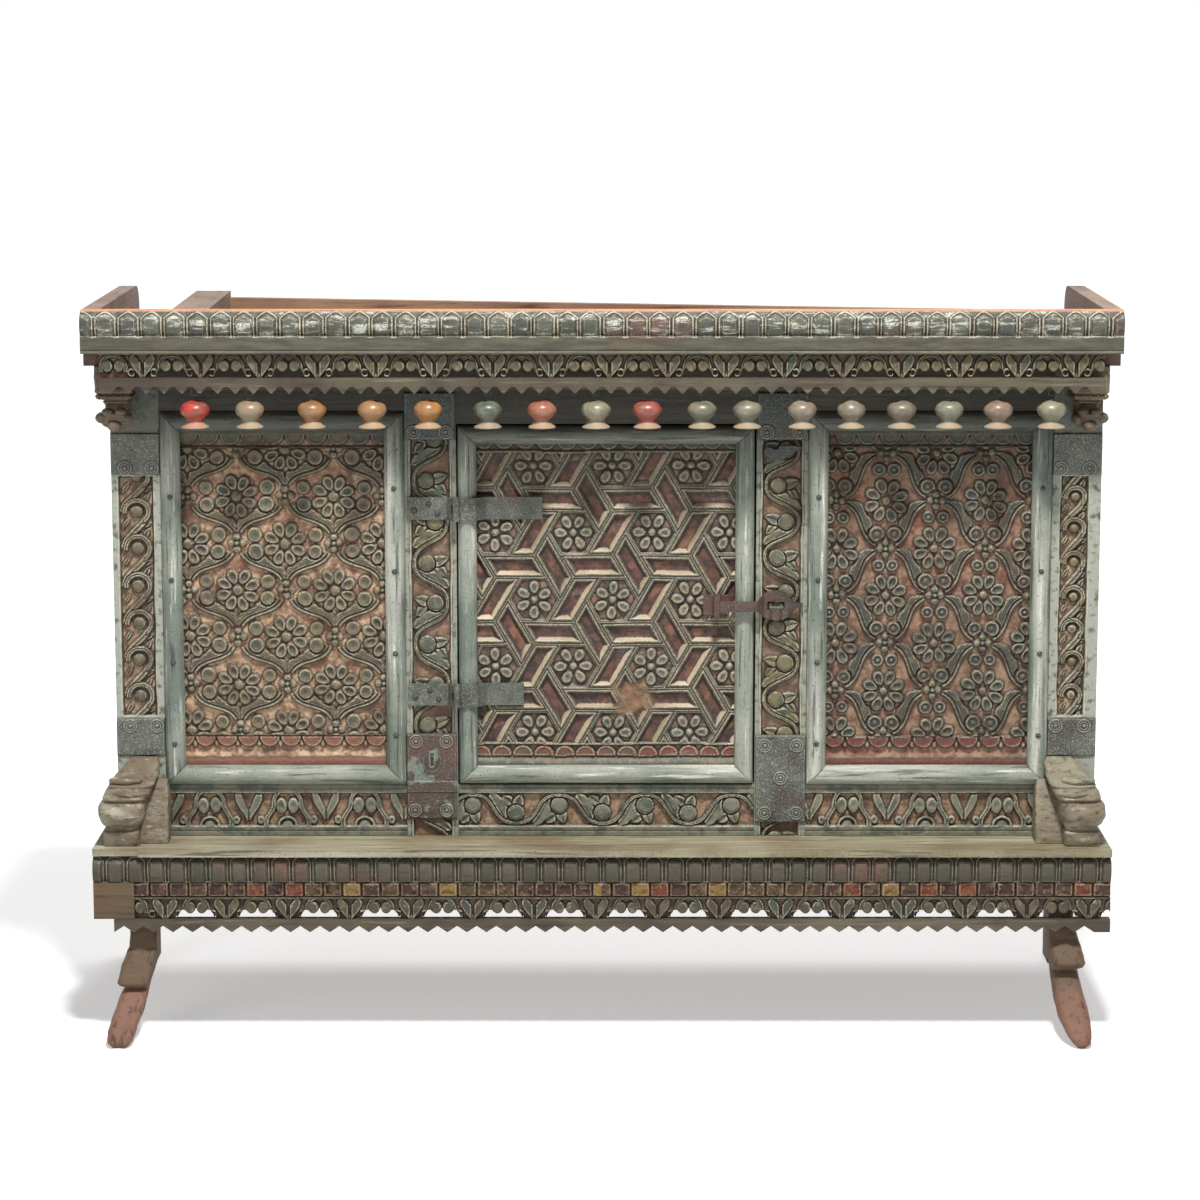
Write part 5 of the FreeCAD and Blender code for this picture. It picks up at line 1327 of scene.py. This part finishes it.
UPPER_STRAP, LOWER_STRAP, HEAD_PLATE = (775, 832), (382, 435), (823, 888)
foot_bosses = [(226, 300), (270, 300), (226, 396), (270, 396), (248, 350)]
lock_bosses = [(-258, 402), (-216, 402), (-260, 304), (-216, 304)]
for name, x, z, bosses, material, seed in (
    ("strap_upper_left", LEFT_POST, UPPER_STRAP, [(-654, 784), (-617, 784)], iron, 201),
    ("strap_upper_right", RIGHT_POST, UPPER_STRAP, [(629, 784), (668, 784)], iron, 203),
    ("strap_lower_left", LEFT_POST, LOWER_STRAP, [(-654, 424), (-617, 424)], iron, 205),
    ("strap_lower_right", RIGHT_POST, LOWER_STRAP, [(629, 424), (668, 424)], iron, 207),
    ("head_plate_left", (-271, -201), HEAD_PLATE, [(-258, 834), (-214, 834)], iron_dark, 209),
    ("head_plate_right", (213, 283), HEAD_PLATE, [(226, 834), (270, 834)], iron_dark, 211),
    ("foot_plate", (213, 283), (287, 411), foot_bosses, iron, 213),
):
    plate(name, x, z, bosses, material, seed)
plate("lock_plate_iron", (-271, -201), (292, 413), lock_bosses, iron_lock, 215, lock_relief, "lock_plate")


def cut_sheet(name, outline, y_front, y_back, material, node, bevel=0.6):
    """A flat sheet cut to an outline, with a bevelled front edge."""
    points = np.asarray(outline, float)
    middle = points.mean(axis=0)
    small = middle + (points - middle) * (1 - bevel / np.abs(points - middle).max())
    rings = []
    for ring, y in ((points, y_back), (points, y_front + bevel), (small, y_front)):
        rings.append(np.stack([ring[:, 0], np.full(len(ring), y), ring[:, 1]], axis=-1))
    return place(stacked(name, rings, smooth_all=False), CARCASE, material, "old_iron", node)


latch = [(223, 803), (221, 808), (223.5, 812), (230, 813), (236, 810), (240, 810), (243, 814.5)]
latch += [(262, 815.5), (275.5, 813), (262, 806), (246, 794), (241, 797), (234, 793), (227, 796)]
cut_sheet("latch_plate", latch, PLATE_Y - 2.2, PLATE_Y, iron_dark, "strap_plates")
nails = []
for side_name in SIDES.values():
    low, high = box_mm(f"panel_mouldings_{side_name}")
    for level in (400, 515, 630, 745):
        nails += [(low[0] + 14, low[1] + 0.6, level), (high[0] - 14, low[1] + 0.6, level + 12)]
studs("moulding_nails", nails, iron_dark)

# Hewn and worn forms: legs, animal-head brackets and corbels


def hewn(name, levels, seed, groove_below=None, around=56, step=2.0):
    """A form from level outlines (z, left, right, front, back, squareness), with tool marks and wear."""
    table = np.array(levels, float)[np.argsort([row[0] for row in levels])]
    z = np.arange(table[0, 0], table[-1, 0] + 0.01, step)
    left, right, front, back, square = (np.interp(z, table[:, 0], table[:, n]) for n in range(1, 6))
    angle = np.linspace(0, 2 * math.pi, around, endpoint=False)[None, :]
    power = 2 / square[:, None]
    c, s = np.cos(angle), np.sin(angle)
    u = np.sign(c) * np.abs(c) ** power
    v = np.sign(s) * np.abs(s) ** power
    rough = drift(angle * 14, z[:, None] + 0 * angle, 11.0, seed) * 0.9
    rough = rough + drift(angle * 14, z[:, None] + 0 * angle, 4.0, seed + 1) * 0.5
    inner = np.clip(np.minimum(z - z[0], z[-1] - z) / 3.0, 0, 1)[:, None]
    half_x, half_y = (right - left)[:, None] / 2, (back - front)[:, None] / 2
    cleft = np.zeros_like(rough)
    if groove_below is not None:
        deep = smooth(groove_below, groove_below - 12, z)[:, None]
        cleft = 3.2 * smooth(0.24, 0.0, np.abs(angle - 1.5 * math.pi)) * deep
    pull = 1.2 - rough * 0.9 * inner + cleft
    x = (left + right)[:, None] / 2 + u * (half_x - np.abs(c) * pull)
    y = (front + back)[:, None] / 2 + v * (half_y - np.abs(s) * pull)
    rings = np.stack([x, y, z[:, None] + 0 * x], axis=-1)
    return stacked(name, rings)


LEG_LEFT = [
    (198, -655, -615, -168, -115, 7), (150, -655, -615, -168, -115, 7), (121, -656, -616, -176, -115, 7),
    (118, -659, -616, -180, -115, 7), (95, -667, -619, -192, -117, 6), (78, -672, -624, -202, -124, 6),
    (74, -670, -625, -200, -128, 5), (71, -662, -626, -188, -130, 4.5), (58, -668, -628, -204, -140, 4),
    (38, -675, -633, -228, -162, 4), (18, -680, -640, -250, -186, 3.6), (7, -680, -644, -255, -196, 3.2),
    (0, -675, -649, -247, -206, 2.8),
]
LEG_RIGHT = [
    (198, 617, 655, -168, -115, 7), (156, 617, 655, -168, -115, 7), (136, 618, 661, -176, -115, 6),
    (116, 619, 667, -190, -117, 5), (104, 620, 670, -196, -120, 5), (98, 621, 668, -192, -124, 4.5),
    (92, 622, 660, -178, -126, 4), (76, 623, 664, -190, -134, 3.6), (52, 625, 670, -216, -154, 3.4),
    (32, 629, 674, -238, -176, 3.2), (14, 638, 674, -253, -196, 3), (6, 644, 672, -255, -206, 2.8),
    (0, 650, 666, -248, -214, 2.6),
]
for node, levels, seed, cleft_top in (
    ("front_leg_left", LEG_LEFT, 301, 66),
    ("front_leg_right", LEG_RIGHT, 311, None),
):
    place(hewn(f"hewn_{node}", levels, seed, cleft_top), CARCASE, wood_leg, "bare_wood", node)

HEAD = [
    (267, -688, -636, -178, -112, 8), (287, -688, -636, -181, -112, 8), (290, -685, -638, -174, -112, 7),
    (295, -686, -636, -177, -112, 6), (299, -692, -632, -186, -112, 3.4), (310, -696, -629, -193, -112, 3),
    (322, -695, -628, -191, -112, 3), (327, -691, -628, -184, -112, 3.2), (330, -688, -628, -178, -112, 3.4),
    (333, -690, -624, -184, -112, 3.2), (343, -686, -620, -178, -112, 3.4), (346, -681, -620, -170, -112, 3.4),
    (349, -683, -616, -172, -112, 3.4), (360, -674, -612, -154, -112, 3.4), (364, -668, -612, -146, -112, 3.4),
    (374, -660, -612, -132, -112, 3.4), (381, -652, -616, -120, -112, 3),
]
BOARD = [
    (267, -650, -598, -160, -112, 9), (300, -650, -598, -152, -112, 9), (334, -646, -599, -140, -112, 8),
    (352, -640, -602, -128, -112, 6),
]


def pebble(name, centre, radii, seed):
    """A worn lump, such as an eye or a leaf curl."""
    turn = np.linspace(0, 2 * math.pi, 20, endpoint=False)[None, :]
    tilt = np.linspace(-1.5, 1.5, 11)[:, None]
    uneven = 1 + 0.08 * drift(turn * 3, tilt * 3 + 0 * turn, 1.7, seed)
    x = centre[0] + radii[0] * np.cos(tilt) * np.cos(turn) * uneven
    y = centre[1] + radii[1] * np.cos(tilt) * np.sin(turn) * uneven
    z = centre[2] + radii[2] * np.sin(tilt) + 0 * turn
    return stacked(name, np.stack([x, y, z], axis=-1))


def mirrored(levels, turned):
    """Level outlines, with left and right swapped where they are turned."""
    return [(row[0], -row[2], -row[1], *row[3:]) for row in levels] if turned else levels


def lumps(name, table, side, seed):
    """Pebbles from a table of centres and radii, across the middle where the side is -1."""
    parts = []
    for number, (x, y, z, *radii) in enumerate(table):
        parts.append(pebble(f"{name}_{number}", (side * x, y, z), radii, seed + number))
    return parts


EYES = [(-668, -180, 314, 23, 15, 12), (-648, -170, 341, 26, 13, 6), (-656, -158, 356, 24, 12, 6)]
for side_name, side in (("left", 1), ("right", -1)):
    parts = []
    for part, levels, seed in (("head", HEAD, 321), ("board", BOARD, 331)):
        rows = mirrored(levels, side < 0)
        parts.append(hewn(f"{part}_{side_name}", rows, seed + side, around=64, step=1.5))
    parts += lumps(f"lump_{side_name}", EYES, side, 351)
    piece = join(f"animal_head_{side_name}", parts)
    place(piece, CARCASE, paint_head, "painted_wood", f"head_bracket_{side_name}")

CORBEL = [
    (841, -672, -652, -140, -112, 3), (846, -680, -644, -154, -112, 3), (856, -684, -638, -163, -112, 3),
    (864, -682, -640, -162, -112, 3), (868, -676, -643, -152, -112, 3.4), (875, -676, -643, -151, -112, 4),
    (880, -679, -640, -160, -112, 5), (882, -676, -642, -156, -112, 6), (885, -686, -634, -168, -112, 8),
    (889, -687, -633, -170, -112, 8), (891, -684, -636, -166, -112, 8), (894, -687, -632, -172, -112, 8),
    (930, -687, -632, -175, -112, 9),
]
CURLS = [
    (-678, -152, 858, 9, 9, 8), (-661, -157, 848, 10, 9, 8), (-645, -153, 857, 9, 9, 8),
    (-670, -155, 866, 8, 9, 6), (-652, -155, 867, 8, 9, 6),
]
FLUTES = [(x, -165, 889, 3, 5, 5) for x in (-680, -670, -660, -650, -640)]
parts = []
for side_name, side in (("left", 1), ("right", -1)):
    parts.append(hewn(f"corbel_{side_name}", mirrored(CORBEL, side < 0), 341 + side, around=64, step=1.2))
    parts += lumps(f"curl_{side_name}", CURLS + FLUTES, side, 361)
place(join("scrolled_corbels", parts), CARCASE, paint_corbel, "painted_wood", "corbels")

# Nails of the hinges

LEAF_Y = PLATE_Y - 0.4
hinge_nails = []
for level in (728.5, 468.5):
    hinge_nails += [(-258, LEAF_Y, level - 3, 1.2), (-238, LEAF_Y, level + 6), (-226, LEAF_Y, level - 7)]
studs("stile_hinge_nails", hinge_nails, iron_dark)

# Turned drops

DROP_COLOURS = {
    1: (linear(176, 54, 44), linear(122, 66, 54), "turned_red"),
    2: (linear(134, 130, 104), linear(140, 112, 90), "turned_grey"),
    3: (linear(150, 108, 68), linear(124, 90, 60), "turned_amber"),
    4: (linear(150, 116, 80), linear(140, 98, 66), "turned_amber"),
    5: (linear(164, 118, 60), linear(140, 94, 50), "turned_amber"),
    6: (linear(70, 82, 70), linear(96, 100, 84), "turned_green"),
    7: (linear(148, 104, 80), linear(142, 74, 60), "turned_amber"),
    8: (linear(104, 104, 86), linear(142, 136, 112), "turned_grey"),
    9: (linear(150, 76, 66), linear(126, 66, 56), "turned_red"),
    10: (linear(84, 90, 74), linear(110, 108, 90), "turned_green"),
    11: (linear(98, 100, 84), linear(120, 118, 98), "turned_green"),
    12: (linear(134, 126, 108), linear(114, 102, 86), "turned_grey"),
    13: (linear(128, 122, 104), linear(108, 98, 82), "turned_grey"),
    14: (linear(116, 106, 90), linear(98, 88, 74), "turned_grey"),
    15: (linear(124, 126, 106), linear(104, 106, 88), "turned_green"),
    16: (linear(132, 114, 98), linear(114, 96, 82), "turned_grey"),
    17: (linear(130, 126, 106), linear(110, 106, 88), "turned_grey"),
}
PALE_FOOT = linear(158, 140, 114)


def drop_profile():
    """Radius and height from the foot up, in millimetres: flared foot, neck and oblate bulb."""
    points = [(0.0, 0.6), (9.0, 0.5), (16.2, 0.2), (18.0, 0.0), (18.4, 0.8), (18.2, 1.8)]
    points += [(17.2, 2.6), (14.8, 4.2), (12.6, 6.6), (11.4, 9.0), (11.0, 11.0), (11.8, 12.2)]
    for step in range(1, 15):
        angle = -0.98 + step * (math.pi / 2 + 0.86) / 14
        points.append((19.7 * math.cos(angle), 24.4 + 13.4 * math.sin(angle)))
    points += [(3.0, 38.3), (1.6, 38.8), (1.1, 39.4)]
    return points


def turned_drop(number):
    """One drop, which stands for its node and swings with it."""
    node = f"drop_{number:02d}"
    low, high = box_mm(node)
    x, y = (low[0] + high[0]) / 2, (low[1] + high[1]) / 2
    angles = np.linspace(0, 2 * math.pi, 48, endpoint=False)
    rings, foot = [], []
    squash = 1 + 0.05 * (chance(number, 4) - 0.5)
    for radius, level in drop_profile():
        radius = max(radius * squash, 0.4)
        rings.append(np.stack([
            x + radius * np.cos(angles), y + radius * np.sin(angles), np.full(48, low[2] + level)
        ], axis=-1))
        foot.append(np.full(48, float(level < 8.5)))
    piece = stacked(f"turned_{node}", rings, values={"foot": np.concatenate(foot)})
    first, second, slot = DROP_COLOURS[number]
    place(piece, node, lacquer(f"lacquer_{number:02d}", first, second, PALE_FOOT), slot, node)


for drop in DROP_COLOURS:
    turned_drop(drop)

# Nodes that keep their shape


def finish_node(material, *names):
    """Gives nodes that no mesh stands for their finish."""
    for name in names:
        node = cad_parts[name]
        if not node.material_slots:
            node.data.materials.append(material)
        for slot in node.material_slots:
            slot.material = material


finish_node(wood_upright, "rear_posts", "side_panels", "back_planks")
finish_node(wood_deep, "gallery_ends", "gallery_beams")
finish_node(paint_end, "side_rails")
finish_node(
    wood_across, "front_sill", "back_rail", "floor_boards", "top_boards", "gallery_back", "door_battens"
)
finish_node(paint_ledge, "ledge_board")
finish_node(paint_dark, "top_rail")
finish_node(paint_strip, "zigzag_strip", "scalloped_strip")
finish_node(iron, "hinge_stile_leaves", "hinge_pins", "hinge_straps", "staple")
finish_node(iron_dark, "drop_hooks")
finish_node(iron_rust, "hasp_bracket", "hasp")

# Floor, backdrop, light and camera


def studio_floor():
    """A pale floor with the shadow of the sideboard, which fades into the white of the backdrop."""
    f = Finish("studio_floor")
    far = f.node("VectorMath", {0: f.where})
    far.operation = "LENGTH"
    fade = f.ramp(far.outputs["Value"], 1.1, 2.4)
    glow = f.maths("ADD", 0.42, f.times(fade, 0.58))
    f.link((1.0, 1.0, 1.0), f.shader.inputs["Emission Color"])
    f.link(f.times(f.seen(), glow), f.shader.inputs["Emission Strength"])
    f.done((0.86, 0.86, 0.86), 0.9, specular=0.0)
    size = 40000.0
    verts = [(-size, -size, 0), (size, -size, 0), (size, size, 0), (-size, size, 0)]
    floor = make_object("floor", verts, [(0, 1, 2, 3)])
    floor.data.materials.append(f.material)


def studio_world():
    """A white backdrop that lights the object only dimly."""
    world = bpy.data.worlds.new("studio")
    bpy.context.scene.world = world
    world.use_nodes = True
    g = Graph(world.node_tree)
    backdrop = g.tree.nodes["Background"]
    dim, white = 0.13, 1.0
    g.link(g.maths("ADD", dim, g.times(g.seen(), white - dim)), backdrop.inputs["Strength"])
    g.link((white, white, white), backdrop.inputs["Color"])


def area_light(name, place_at, aim, size, power):
    data = bpy.data.lights.new(name, "AREA")
    data.shape = "RECTANGLE"
    data.size, data.size_y = size
    data.energy = power
    lamp = bpy.data.objects.new(name, data)
    lamp.location = place_at
    lamp.rotation_euler = (Vector(aim) - Vector(place_at)).to_track_quat("-Z", "Y").to_euler()
    bpy.context.scene.collection.objects.link(lamp)


studio_floor()
studio_world()
AIM = (0.0, 0.0, 0.55)
area_light("key_light", (0.3, -2.1, 4.0), AIM, (0.5, 0.5), 235.0)
area_light("fill_light", (-2.6, -2.8, 1.9), AIM, (1.6, 1.6), 18.0)
area_light("back_light", (0.3, 1.7, 3.8), AIM, (1.6, 1.6), 70.0)

camera_data = bpy.data.cameras.new("camera")
camera_data.lens = 108.4
camera_data.sensor_width = 36.0
camera = bpy.data.objects.new("camera", camera_data)
camera.location = (-0.0027, -5.026, 1.430)
DOWNWARD = 9.58
camera.rotation_euler = (math.radians(90 - DOWNWARD), 0.0, 0.0)
bpy.context.scene.collection.objects.link(camera)
bpy.context.scene.camera = camera
bpy.context.scene.view_settings.view_transform = "Standard"
